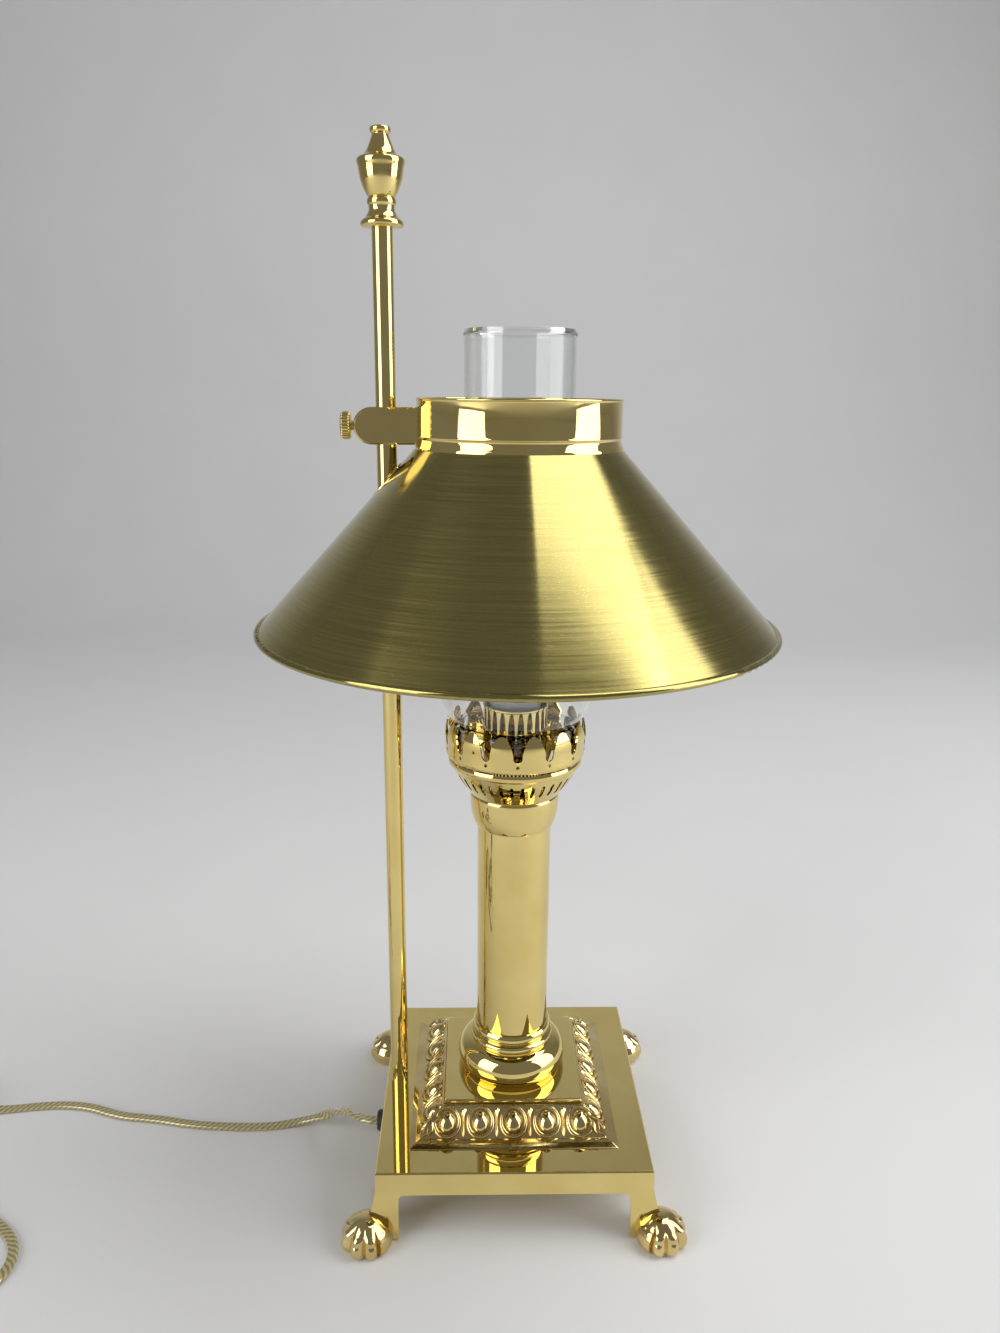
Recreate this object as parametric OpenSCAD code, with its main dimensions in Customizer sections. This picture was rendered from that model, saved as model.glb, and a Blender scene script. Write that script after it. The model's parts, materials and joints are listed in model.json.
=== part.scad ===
// Table lamp with a square brass base on paw feet, a round column on a turned foot, a pierced
// gallery with a glass chimney, and a cone shade that slides on a side rod.
// Millimetres, +Z up. The origin is on the table, on the column's axis.

/* [Base] */
// Side of the square top plate
base_w = 140; // [138:0.5:142]
// Height of the top plate above the table
plate_z = 38; // [37:0.5:40]
// Height of the straight part of the skirt
skirt_h = 12.7; // [12:0.1:14]
// Thickness of the pressed brass sheet of the base
sheet = 1.5; // [1.2:0.1:1.7]
// Width of a leg along the side of the base
leg_w = 11.7; // [11:0.1:13]
// Radius of a paw where it is widest
paw_r = 13; // [12:0.25:13.5]
// Toes on each paw
toe_count = 4; // [3:1:5]

/* [Moulding] */
// Half width of the moulding where it meets the plate
mould_half = 54; // [53.5:0.5:55]
// Eggs along each side of the moulding
egg_count = 5; // [3:2:5]
// Half width of an egg
egg_half_w = 5.2; // [4.6:0.1:5.6]

/* [Column] */
// Radius of the column's tube
column_r = 19.2; // [18.8:0.1:19.4]
// Height of the tube's top above the table
column_top = 197; // [190:1:200]
// Radius of the round moulding at the column's foot
foot_bead_r = 9.8; // [9.2:0.1:10]

/* [Gallery] */
// Prongs that hold the chimney
prong_count = 14; // [12:1:16]
// Slots round the bowl
slot_count = 36; // [24:2:40]
// Width of one slot
slot_w = 1.8; // [1.4:0.1:2]

/* [Glass] */
// Radius of the chimney's straight top
chimney_r = 26; // [24:0.5:27]
// Thickness of the chimney's wall
glass_t = 1.6; // [1.4:0.1:1.8]

/* [Shade] */
// Radius of the shade's rim
rim_r = 126; // [120:1:130]
// Height of the shade's rim above the table
rim_z = 303; // [300:1:306]
// Radius of the collar at the shade's top
collar_r = 48.3; // [47:0.1:49]
// Thickness of the shade's sheet
shade_t = 0.8; // [0.7:0.1:1]

/* [Rod] */
// Radius of the upright rod
rod_r = 4.75; // [4.6:0.05:4.85]
// Height of the rod's top above the table
rod_top = 484; // [476:1:490]

/* [Cord] */
// Width of the flat twin cord
cord_w = 5.3; // [5:0.1:5.4]
// Thickness of the flat twin cord
cord_t = 2.7; // [2.4:0.1:2.8]
// Turns of the coil in each of its two layers
coil_turns = 3; // [2:1:3]

/* [Hidden] */
$fn = 48;

hw = base_w / 2;
skirt_z = plate_z - skirt_h;
leg_in = hw - leg_w;
flare = 3;
paw_c = hw + 4;
rod_x = 62.5;
// Moulding: its ledge, and the outer and inner edge of the carved slope
ledge_z = plate_z + 1.7;
ledge_half = mould_half - 3;
band_out = mould_half - 5.6;
band_in = 37.5;
band_z0 = plate_z + 2;
band_z1 = plate_z + 13.8;
inner_half = 36.3;
inner_top = plate_z + 16;
foot_top = plate_z + 42;
cap_top = column_top + 18;
seat_z = column_top + 38;
brass = [0.74, 0.64, 0.36];
bright = [0.86, 0.76, 0.42];
olive = [0.55, 0.50, 0.27];
glass = [0.85, 0.92, 0.95, 0.35];
gold_cord = [0.72, 0.66, 0.36];
steel = [0.6, 0.6, 0.62];
// Threaded pipe, and the holes that it passes through
pipe_r = 4.9;
pipe_hole_r = 5.1;
// Threaded studs at the rod's two ends, and the holes that they pass through
stud_r = 2.9;
stud_hole_r = 3;
// Where the cord leaves the base
exit_y = -23.7;
exit_z = plate_z - 6.5;
bushing_nose = 3;
// Gap between the bushing's faces and the sheet that they close on
face_gap = 0.02;
// Hole in the shade's cone for the rod
rod_hole_r = 6.6;

// General functions

function unit(v) = v / norm(v);
function arc(cx, cy, r, a0, a1, n) =
    [for (i = [0:n]) [cx + r * cos(a0 + (a1 - a0) * i / n), cy + r * sin(a0 + (a1 - a0) * i / n)]];
function mirror_x(p) = [for (i = [len(p) - 1:-1:0]) [-p[i][0], p[i][1]]];
function smooth(u) = let (c = min(max(u, 0), 1)) c * c * (3 - 2 * c);

// Closed skin over rings of points; each ring turns the same way about the direction of travel
module skin(rings) {
    n = len(rings);
    m = len(rings[0]);
    all_pts = [for (r = rings) for (p = r) p];
    mid0 = [for (k = [0:2]) ([for (p = rings[0]) 1] * [for (p = rings[0]) p[k]]) / m];
    mid1 = [for (k = [0:2]) ([for (p = rings[n - 1]) 1] * [for (p = rings[n - 1]) p[k]]) / m];
    sides = [for (i = [0:n - 2]) for (j = [0:m - 1])
        let (a = i * m + j, b = i * m + (j + 1) % m, c = (i + 1) * m + (j + 1) % m, d = (i + 1) * m + j)
        each [[a, d, c], [a, c, b]]];
    start = [for (j = [0:m - 1]) [n * m, j, (j + 1) % m]];
    stop = [for (j = [0:m - 1]) [n * m + 1, (n - 1) * m + (j + 1) % m, (n - 1) * m + j]];
    polyhedron(points = concat(all_pts, [mid0, mid1]), faces = concat(sides, start, stop), convexity = 8);
}

// Oval ring of a flat cord at one point of its route, wide side level
function cord_ring(p, t, w, h, sides) =
    let (s = unit([t[1], -t[0], 0]), u = cross(t, s))
    [for (k = [0:sides - 1]) p + w / 2 * cos(360 * k / sides) * s + h / 2 * sin(360 * k / sides) * u];
function way(path, i) = let (n = len(path) - 1)
    i == 0 ? unit(path[1] - path[0]) : i == n ? unit(path[n] - path[n - 1])
    : unit(unit(path[i] - path[i - 1]) + unit(path[i + 1] - path[i]));
module flat_cord(path, sides) {
    skin([for (i = [0:len(path) - 1]) cord_ring(path[i], way(path, i), cord_w, cord_t, sides)]);
}

// Round ring, turned so that it also works where the route is upright
function round_ring(p, t, r, sides) =
    let (s = unit(cross([0.34, -0.94, 0], t)), u = cross(t, s))
    [for (k = [0:sides - 1]) p + r * cos(360 * k / sides) * s + r * sin(360 * k / sides) * u];

// The base: sheet pressed into a square tray whose corners run down as legs

// Side view of the base: straight skirt, then a sweep outwards over the paws
function base_side(o, top, bottom) = let (
    right = [[hw - o - 0.7, top], [hw - o, top - 0.7], [hw - o, plate_z - 10],
        [hw - o + flare * 0.13, plate_z - 12.5], [hw - o + flare * 0.4, plate_z - 16],
        [hw - o + flare * 0.72, plate_z - 19.5], [hw - o + flare * 0.93, plate_z - 22],
        [hw - o + flare, plate_z - 23.5], [hw - o + flare, bottom]])
    concat(right, mirror_x(right));
module base_form(o, top, bottom) {
    intersection() {
        rotate([90, 0, 0]) linear_extrude(2 * hw + 20, center = true) polygon(base_side(o, top, bottom));
        rotate([90, 0, 90]) linear_extrude(2 * hw + 20, center = true) polygon(base_side(o, top, bottom));
    }
}
// Opening between two legs, with small rounds at its top corners
module arch() {
    rotate([90, 0, 0]) linear_extrude(2 * hw + 30, center = true) {
        translate([-leg_in, -5]) square([2 * leg_in, skirt_z + 5 - 2.5]);
        translate([-leg_in + 2.5, -5]) square([2 * leg_in - 5, skirt_z + 5]);
        translate([-leg_in + 2.5, skirt_z - 2.5]) circle(2.5);
        translate([leg_in - 2.5, skirt_z - 2.5]) circle(2.5);
    }
}
module base_shell() {
    color(brass) difference() {
        base_form(0, plate_z, 1);
        base_form(sheet, plate_z - 2, 0);
        arch();
        rotate([0, 0, 90]) arch();
        translate([0, 0, plate_z - 4]) cylinder(r = pipe_hole_r, h = 8);
        translate([-rod_x, 0, plate_z - 4]) cylinder(r = stud_hole_r, h = 8);
        translate([-hw - bushing_nose, exit_y, exit_z]) rotate([0, 90, 0]) cylinder(r = 4, h = 6);
    }
}

// Paws: a low dome whose outer half is divided into toes

// Height and radius of the dome, and how deep the grooves between the toes are there
paw_rows = [[0, 0.80, 0.7], [1.3, 0.93, 1.6], [3.1, 0.99, 2], [5.2, 1, 2], [7.4, 0.965, 1.8],
    [9.2, 0.90, 1.4], [10.9, 0.83, 0.9], [12.1, 0.71, 0.5], [13.6, 0.60, 0.2], [15.1, 0.44, 0],
    [16.2, 0.26, 0]];
toe_arc = 164;
function toe(a) = let (w = toe_arc / toe_count, s = (a + toe_arc / 2) / w)
    abs(a) >= toe_arc / 2 ? 1 : sqrt(abs(sin(180 * s)));
function paw_radius(row, a) =
    paw_rows[row][1] * paw_r - paw_rows[row][2] * (1 - toe(a)) * (abs(a) < toe_arc / 2 ? 1 : 0);
module paw() {
    m = 56;
    color(bright) difference() {
        translate([paw_c, paw_c, 0]) skin([for (i = [0:len(paw_rows) - 1]) [for (j = [0:m - 1])
            let (a = 360 * j / m - 180, r = paw_radius(i, a)) [r * cos(a + 45), r * sin(a + 45),
                paw_rows[i][0]]]]);
        translate([0, 0, -1]) cube([hw + flare, hw + flare, 30]);
    }
}
module paw_back_right() { paw(); }
module paw_back_left() { rotate([0, 0, 90]) paw(); }
module paw_front_left() { rotate([0, 0, 180]) paw(); }
module paw_front_right() { rotate([0, 0, 270]) paw(); }

// The square moulding: a foot, a sloping band of eggs and darts, and a plate let into its top

slope = atan2(band_z1 - band_z0, band_out - band_in);
corner_w = 10.5;
pitch = (2 * mould_half - 2 * corner_w) / egg_count;
// Revolved egg, long side down the slope, with its axis sunk under the band
module egg() {
    rotate_extrude($fn = 40) polygon([[0, -7], [1.7, -6.6], [3.2, -5.5], [egg_half_w * 0.87, -3.4],
        [egg_half_w, -0.6], [egg_half_w * 0.94, 2], [3.7, 4.6], [2, 6.1], [0, 6.7]]);
}
// Oval rib round an egg, open at the top of the band
module egg_rib() {
    difference() {
        linear_extrude(1.6) polygon([for (k = [0:23]) [7.1 * cos(15 * k), 7.7 * sin(15 * k) + 0.2]]);
        translate([0, 0, -1]) linear_extrude(4)
            polygon([for (k = [0:23]) [5.5 * cos(15 * k), 6.9 * sin(15 * k) + 0.9]]);
    }
}
// Dart between two eggs: a narrow leaf with a ridge
module dart() {
    intersection() {
        linear_extrude(2.4) polygon([[0, -7.2], [0.9, -4], [0.75, 2], [1.7, 6.6], [-1.7, 6.6],
            [-0.75, 2], [-0.9, -4]]);
        rotate([90, 0, 0]) translate([0, 0.3, 0]) cylinder(r = 1.5, h = 20, center = true, $fn = 24);
    }
}
// Carving of the front band, laid on the slope: local x along the side, local y up the slope
module band_carving() {
    translate([0, -(band_out + band_in) / 2, (band_z0 + band_z1) / 2]) rotate([slope, 0, 0]) {
        for (k = [0:egg_count - 1]) translate([(k - (egg_count - 1) / 2) * pitch, 0, 0]) {
            translate([0, 0, -2.6]) rotate([-90, 0, 0]) egg();
            translate([0, 0, -0.4]) egg_rib();
        }
        for (k = [1:egg_count - 1]) translate([(k - egg_count / 2) * pitch, 0, -0.6]) dart();
    }
}
// Leaf along the ridge where two bands meet, at the front right corner
module corner_leaf() {
    middle = (band_out + band_in) / 2;
    rise = atan2(band_z1 - band_z0, sqrt(2) * (band_out - band_in));
    side = [[0, -9], [1.8, -5.5], [2.3, 0], [1.9, 4.5], [0, 8.4]];
    leaf = concat(side, [for (i = [len(side) - 2:-1:1]) [-side[i][0], side[i][1]]]);
    translate([middle, -middle, (band_z0 + band_z1) / 2]) rotate([0, 0, 45]) rotate([rise, 0, 0])
        intersection() {
            linear_extrude(6, center = true) polygon(leaf);
            rotate([90, 0, 0]) translate([0, -1.6, 0]) cylinder(r = 2.9, h = 20, center = true, $fn = 24);
        }
}
module moulding_form() {
    p = [[mould_half, plate_z], [mould_half, plate_z + 0.4], [ledge_half + 1.2, ledge_z - 0.5],
        [ledge_half, ledge_z], [band_out, band_z0], [band_out - 3.7, band_z0 + 4.2],
        [band_out - 7.5, band_z0 + 8], [band_in, band_z1], [inner_half + 0.2, band_z1]];
    q = concat(p, mirror_x(p));
    intersection() {
        rotate([90, 0, 0]) linear_extrude(2 * mould_half + 4, center = true) polygon(q);
        rotate([90, 0, 90]) linear_extrude(2 * mould_half + 4, center = true) polygon(q);
    }
}
module base_moulding() {
    plate_gap = 2 * inner_half + 0.4;
    color(brass) difference() {
        union() {
            moulding_form();
            for (k = [0:3]) rotate([0, 0, 90 * k]) {
                band_carving();
                corner_leaf();
            }
        }
        translate([0, 0, plate_z + 19]) cube([66, 66, 40], center = true);
        translate([0, 0, inner_top + 6]) cube([plate_gap, plate_gap, 20], center = true);
    }
}
module inner_plate() {
    low = 2 * inner_half;
    high = low - 1;
    color(brass) difference() {
        union() {
            translate([0, 0, inner_top - 2.25]) cube([low, low, 3.5], center = true);
            translate([0, 0, inner_top - 0.5]) cube([high, high, 1], center = true);
        }
        translate([0, 0, inner_top - 10]) cylinder(r = pipe_hole_r, h = 20);
    }
}

// The column

module column_foot() {
    color(bright) difference() {
        union() {
            rotate_extrude($fn = 96) translate([19.5,
                inner_top + 0.3 * foot_bead_r + 3.56]) circle(foot_bead_r, $fn = 48);
            translate([0, 0, inner_top]) cylinder(r = 24, h = 8);
            translate([0, 0, inner_top + 6]) cylinder(r = 21.4, h = 10);
            rotate_extrude($fn = 96) polygon([[0, inner_top + 15], [21.4, inner_top + 15],
                [22.1, inner_top + 16.2], [22.2, inner_top + 18.4], [21.4, inner_top + 20],
                [20.2, inner_top + 20.4], [20.3, foot_top - 5.4], [21, foot_top - 4.6],
                [21.2, foot_top - 2.8], [20.8, foot_top - 1.2], [20.3, foot_top], [0, foot_top]]);
        }
        translate([0, 0, inner_top - 20]) cylinder(r = 60, h = 20);
        translate([0, 0, foot_top - 2]) cylinder(r = column_r + 0.05, h = 10);
        translate([0, 0, inner_top - 10]) cylinder(r = pipe_hole_r, h = 100);
    }
}
module column_tube() {
    color(bright) translate([0, 0, foot_top - 2]) difference() {
        cylinder(r = column_r, h = column_top + 4 - foot_top, $fn = 96);
        translate([0, 0, -1]) cylinder(r = column_r - 1, h = column_top + 10 - foot_top, $fn = 96);
    }
}
module column_capital() {
    color(bright) difference() {
        rotate_extrude($fn = 96) polygon([[0, column_top], [20.1, column_top],
            [20.8, column_top + 1.5], [21.6, column_top + 3.8], [22.2, column_top + 6],
            [22.7, column_top + 9.5], [23, column_top + 14], [23, column_top + 16.6],
            [22.6, column_top + 18], [0, column_top + 18]]);
        translate([0, 0, column_top - 1]) cylinder(r = column_r + 0.05, h = 3);
        translate([0, 0, column_top - 1]) cylinder(r = 12, h = 15);
        translate([0, 0, column_top - 10]) cylinder(r = pipe_hole_r, h = 40);
    }
}

// The threaded pipe that holds the stack together, with its nut and washer under the plate

module lamp_pipe() {
    color(brass) translate([0, 0, plate_z - 8]) difference() {
        cylinder(r = pipe_r, h = cap_top + 7 - plate_z + 8);
        translate([0, 0, -1]) cylinder(r = 3.2, h = 300);
    }
}
module pipe_nut() {
    color(steel) translate([0, 0, plate_z - 7.5]) difference() {
        cylinder(r = 8.1, h = 4, $fn = 6);
        translate([0, 0, -1]) cylinder(r = pipe_r, h = 10);
    }
}
module pipe_washer() {
    color(steel) translate([0, 0, plate_z - 3.5]) difference() {
        cylinder(r = 12, h = 1.5);
        translate([0, 0, -1]) cylinder(r = 5, h = 10);
    }
}

// The gallery: a slotted bowl and a crown of prongs that holds the chimney

module gallery_bowl() {
    z = cap_top;
    color(bright) difference() {
        rotate_extrude($fn = 96) polygon([[0, z], [22.6, z], [23.4, z + 0.6], [25.2, z + 3],
            [27.2, z + 5.8], [29.2, z + 8.8], [30.8, z + 11.6], [32.2, z + 14.4], [33, z + 16],
            [33.9, z + 16.6], [34.2, z + 17.6], [34.2, z + 18.6], [33.8, z + 20], [33, z + 20],
            [33, z + 17], [32, z + 15.9], [31.3, z + 14.6], [29.9, z + 11.9], [28.3, z + 9.2],
            [26.3, z + 6.2], [24.4, z + 3.5], [22.6, z + 1], [0, z + 1]]);
        for (k = [0:slot_count - 1]) rotate([0, 0, 360 * (k + 0.5) / slot_count])
            translate([28.9, 0, z + 9.3]) rotate([0, -60, 0]) cube([7.4, slot_w, 5], center = true);
        translate([0, 0, z - 5]) cylinder(r = pipe_hole_r, h = 10);
    }
}
// Gap between two prongs, seen from outside: round at its foot, then wider up to the rounded tips
gap_foot_r = 2.2;
function gap_side(z) = [[gap_foot_r, z + 9.4], [2.35, z + 11.5], [2.9, z + 13.6], [3.6, z + 15.6],
    [4.4, z + 17.2], [5, z + 18.4], [5.6, z + 19.2], [6.6, z + 19.8], [7.4, z + 20.05], [7.4, z + 22]];
module gallery_crown() {
    z = seat_z;
    color(bright) difference() {
        rotate_extrude($fn = 112) polygon([[24, z], [35, z], [35.5, z + 0.6], [35.5, z + 9],
            [35.8, z + 12], [35.5, z + 15], [34.9, z + 18], [34.4, z + 20], [33.6, z + 20],
            [34.1, z + 18], [34.7, z + 15], [35, z + 12], [34.6, z + 9], [34.6, z + 1],
            [24, z + 1]]);
        for (k = [0:prong_count - 1]) rotate([0, 0, -90 + 360 * k / prong_count]) {
            translate([30, 0, 0]) rotate([90, 0, 90]) linear_extrude(12)
                polygon(concat(arc(0, z + 9.4, gap_foot_r, 180, 350, 8), gap_side(z), mirror_x(gap_side(z))));
            translate([30, 0, z + 5]) rotate([0, 90, 0]) cylinder(r = 0.9, h = 12, $fn = 16);
        }
    }
}

// The lamp holder

module socket_cap() {
    z = cap_top + 1;
    color(bright) rotate_extrude($fn = 64) polygon([[4.95, z], [7, z], [9.6, z + 1.2],
        [13, z + 3.6], [15.4, z + 7], [16.2, z + 10.4], [16.2, z + 13], [15.6, z + 13],
        [15.6, z + 10.6], [14.8, z + 7.4], [12.6, z + 4.4], [9.2, z + 2.2], [7, z + 1.4],
        [4.95, z + 1.4]]);
}
module socket_shell() {
    z = cap_top + 14;
    color(bright) rotate_extrude($fn = 64) polygon([[16.2, z], [16.2, z + 20.2], [16.8, z + 20.7],
        [16.8, z + 21.7], [16.2, z + 22.2], [16.2, z + 31.8], [16.6, z + 32.2], [16.6, z + 33],
        [15.7, z + 33], [15.7, z]]);
}
module socket_liner() {
    z = cap_top + 16;
    color([0.25, 0.2, 0.15]) rotate_extrude($fn = 64) polygon([[15, z], [15.6, z], [15.6, z + 30],
        [15, z + 30]]);
}
module socket_core() {
    color([0.2, 0.16, 0.13]) translate([0, 0, cap_top + 8.4]) difference() {
        union() {
            cylinder(r = 12, h = 4);
            translate([0, 0, 3]) cylinder(r = 14.6, h = 5.8);
            translate([0, 0, 5.6]) cylinder(r = 15.7, h = 2);
        }
        translate([8, 0, -1]) cylinder(r = 1.6, h = 20);
        translate([-8, 0, -1]) cylinder(r = 1.6, h = 20);
    }
}
module socket_thread() {
    z = cap_top + 17.2;
    color(brass) rotate_extrude($fn = 64) polygon([[5.6, z], [13.9, z], [13.9, z + 24],
        [13.4, z + 24], [13.4, z + 0.5], [5.6, z + 0.5]]);
}
module socket_contact() {
    color(brass) translate([0, 0, cap_top + 17.2]) union() {
        cylinder(r = 3.4, h = 0.6);
        translate([0, 0, 0.5]) cylinder(r = 2.2, h = 0.7);
    }
}

// The bulb, a frosted tube with a screw base

bulb_z = cap_top + 18.7;
module bulb_contact() {
    color(steel) translate([0, 0, bulb_z]) cylinder(r1 = 2.6, r2 = 3.8, h = 1.2);
}
module bulb_insulator() {
    color([0.08, 0.08, 0.09]) translate([0, 0, bulb_z + 1.5]) union() {
        cylinder(r1 = 4.2, r2 = 10.6, h = 3.2);
        translate([0, 0, 3.2]) cylinder(r = 11, h = 1);
    }
}
module bulb_base() {
    z = bulb_z + 4.45;
    color(steel) rotate_extrude($fn = 64) polygon([[11, z], [12.4, z], [13, z + 1], [13, z + 21],
        [12.5, z + 21], [12.5, z + 1.2], [11, z + 0.6]]);
}
module bulb_glass() {
    z = bulb_z + 21;
    color([0.95, 0.95, 0.95]) rotate_extrude($fn = 72) polygon([[11.6, z - 2], [12.5, z - 2],
        [12.5, z + 5.4], [13.3, z + 8.5], [15, z + 13.5], [16, z + 19], [16, z + 106],
        [15.5, z + 110], [14.2, z + 114], [12, z + 117.4], [9, z + 120], [5, z + 121.6],
        [0, z + 122.2], [0, z + 121.2], [4.7, z + 120.6], [8.4, z + 119.2], [11.3, z + 116.8],
        [13.4, z + 113.6], [14.6, z + 109.8], [15, z + 106], [15, z + 19.2], [14.1, z + 13.8],
        [12.4, z + 8.9], [11.6, z + 5.6]]);
}

// The chimney: a clear glass tube with a swelling over the gallery
module chimney() {
    z = seat_z + 1.3;
    r = chimney_r;
    t = glass_t;
    outer = [[30, 0], [30.2, 1], [30.2, 12.4], [29.7, 14.4], [30, 16.2], [31.6, 18.2], [34, 20.4],
        [36, 22.8], [37.2, 25.6], [37.9, 29.4], [38, 34], [37.6, 40], [36.6, 46], [35, 53],
        [33.1, 60.4], [31, 68.4], [r + 3, 77], [r + 1.3, 86], [r + 0.3, 94], [r, 101], [r, 201.6],
        [r + 0.45, 202.5], [r + 0.45, 203.4], [r - 0.2, 204]];
    // The wall is a little thicker where the neck begins and under the rolled lip
    function wall(i) = t + (i > 13 && i < 20 ? 0.1 : 0) + (i > 20 ? 0.2 : 0);
    inner = [for (i = [len(outer) - 1:-1:0]) [outer[i][0] - wall(i), outer[i][1]]];
    color(glass) translate([0, 0, z]) rotate_extrude($fn = 96) polygon(concat(outer, inner));
}

// The rod and its finial

module rod() {
    color(bright) translate([-rod_x, 0, 0]) union() {
        translate([0, 0, plate_z]) cylinder(r = rod_r, h = rod_top - plate_z, $fn = 64);
        translate([0, 0, plate_z - 9]) cylinder(r = stud_r, h = 10);
        translate([0, 0, rod_top - 1]) cylinder(r = stud_r, h = 9);
    }
}
module rod_washer() {
    color(steel) translate([-rod_x, 0, plate_z - 3]) difference() {
        cylinder(r = 5.2, h = 1);
        translate([0, 0, -1]) cylinder(r = stud_hole_r, h = 4);
    }
}
module rod_nut() {
    color(steel) translate([-rod_x, 0, plate_z - 7.5]) difference() {
        rotate([0, 0, 30]) cylinder(r = 5.1, h = 4.5, $fn = 6);
        translate([0, 0, -1]) cylinder(r = stud_r, h = 8);
    }
}
module finial() {
    z = rod_top;
    color(bright) translate([-rod_x, 0, 0]) difference() {
        rotate_extrude($fn = 64) polygon([[0, z], [8.6, z], [9.5, z + 0.6], [9.65, z + 1.8],
            [9, z + 2.8], [7.6, z + 3.8], [6.85, z + 4.9], [6, z + 6.6], [5.8, z + 7.9], [6, z + 9],
            [6.4, z + 9.8], [6.4, z + 11.4], [6, z + 12], [5.7, z + 12.3], [6.3, z + 12.7],
            [7, z + 14], [7.9, z + 15.8], [8.7, z + 17.8], [9.25, z + 19.5], [9.8, z + 22],
            [10.1, z + 24], [10.6, z + 26], [10.7, z + 27.3], [10.2, z + 28], [8.6, z + 28.8],
            [7.35, z + 29.6], [6.2, z + 31.4], [5.2, z + 33.6], [4.3, z + 35.8], [3.6, z + 37.7],
            [4.2, z + 38.2], [4.55, z + 38.8], [4.55, z + 40.2], [4.1, z + 40.8], [0, z + 41]]);
        translate([0, 0, z - 1]) cylinder(r = stud_r + 0.05, h = 10);
    }
}

// The shade and the clamp that holds it on the rod

cone_top_z = rim_z + 84.7;
cone_top_r = collar_r + 1.1;
cone_slope = (rim_r - cone_top_r) / (cone_top_z - rim_z);
// Outline of the collar as a solid of revolution, also used to fit the arm to it
function collar_side() = [[cone_top_r, cone_top_z], [cone_top_r - 0.1, cone_top_z + 1],
    [collar_r + 0.1, cone_top_z + 3], [collar_r - 0.3, cone_top_z + 4.1],
    [collar_r - 0.3, cone_top_z + 5], [collar_r + 0.3, cone_top_z + 5.8],
    [collar_r, cone_top_z + 6.6], [collar_r, cone_top_z + 22.1],
    [collar_r + 0.3, cone_top_z + 22.6], [collar_r, cone_top_z + 23.3]];
module shade_collar() {
    side = collar_side();
    neck_r = collar_r - shade_t - 0.2;
    inner = [for (i = [len(side) - 1:-1:0]) [i < 4 ? side[i][0] - shade_t : neck_r, side[i][1]]];
    color(bright) rotate_extrude($fn = 128) polygon(concat(side, inner));
}
module shade_cone() {
    t = shade_t * norm([1, cone_slope]);
    color(olive) difference() {
        union() {
            rotate_extrude($fn = 160) polygon([[rim_r, rim_z], [cone_top_r, cone_top_z],
                [cone_top_r - t, cone_top_z], [rim_r - t, rim_z]]);
            rotate_extrude($fn = 160) translate([rim_r - 0.4, rim_z]) circle(1.6, $fn = 24);
        }
        translate([-rod_x, 0, rim_z + 20]) cylinder(r = rod_hole_r, h = 100);
    }
}
arm_z = cone_top_z + 10.3;
module clamp_arm() {
    color(brass) difference() {
        union() {
            translate([0, 0, arm_z]) rotate([90, 0, 90]) translate([0, 0, -68.9]) linear_extrude(28)
                polygon([[-6.5, -7.6], [-5.6, -8.5], [5.6, -8.5], [6.5, -7.6], [6.5, 7.6],
                    [5.6, 8.5], [-5.6, 8.5], [-6.5, 7.6]]);
            translate([-68.9, 0, arm_z]) rotate([90, 0, 0]) rotate_extrude($fn = 64)
                polygon([[0, -6.5], [7.6, -6.5], [8.5, -5.6], [8.5, 5.6], [7.6, 6.5], [0, 6.5]]);
        }
        rotate_extrude($fn = 128) polygon(concat([[0, cone_top_z - 20], [cone_top_r, cone_top_z - 20]],
            collar_side(), [[0, cone_top_z + 23.3]]));
        translate([-rod_x, 0, arm_z - 20]) cylinder(r = rod_r + 0.65, h = 40, $fn = 64);
        translate([-90, 0, arm_z]) rotate([0, 90, 0]) cylinder(r = 2.2, h = 90 - rod_x);
    }
}
module clamp_liner() {
    color([0.5, 0.36, 0.2]) translate([-rod_x, 0, arm_z - 8.2]) difference() {
        cylinder(r = rod_r + 0.6, h = 16.4, $fn = 64);
        translate([0, 0, -1]) cylinder(r = rod_r + 0.05, h = 20, $fn = 64);
        translate([0, -0.4, -1]) cube([10, 0.8, 20]);
    }
}
module thumb_screw_shank() {
    color(steel) translate([-82.7, 0, arm_z]) rotate([0, 90, 0]) cylinder(r = 2.1,
        h = 82.7 - rod_x - rod_r - 0.9);
}
module thumb_screw_head() {
    color(bright) translate([-83.6, 0, arm_z]) rotate([0, 90, 0]) difference() {
        rotate_extrude($fn = 64) polygon([[0, 0], [5.6, 0], [6.4, 0.8], [6.4, 3.8], [5.7, 4.6],
            [3.6, 4.9], [0, 4.9]]);
        translate([0, 0, 0.6]) cylinder(r = 2.15, h = 10);
        for (k = [0:23]) rotate([0, 0, 15 * k])
            translate([6.75, 0, -1]) cylinder(r = 0.62, h = 8, $fn = 16);
    }
}

// The cord and what is on it

// Free cord from the bushing to the switch
lead_path = [[-73.2, -23.7, 31.5], [-76, -23.7, 31.5], [-80, -22.4, 31.2], [-84.5, -18.6, 30],
    [-88.6, -13, 27.6], [-92.6, -7.2, 24], [-97, -1.6, 19.4], [-101.8, 3.2, 14.4], [-107.4, 7, 9.6],
    [-113.4, 9.4, 5.8], [-119.8, 10.4, 3.3], [-126.6, 10, 2], [-134, 8.8, 1.5], [-142, 7.9, 1.4],
    [-151, 7.7, 1.4], [-161, 8, 1.4], [-171, 8.7, 1.4], [-180, 9.6, 1.4], [-190, 11.3, 1.4],
    [-202, 13.9, 1.4], [-214, 15.8, 1.4], [-225, 17.4, 1.4], [-235, 20.4, 1.4], [-244, 23.8, 1.4],
    [-254, 26.3, 1.4], [-266, 27.3, 1.4], [-278, 26.6, 1.4], [-290, 25, 1.4], [-300, 23.5, 1.9],
    [-308, 22.4, 4], [-315, 22, 6], [-321, 22, 6]];
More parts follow.
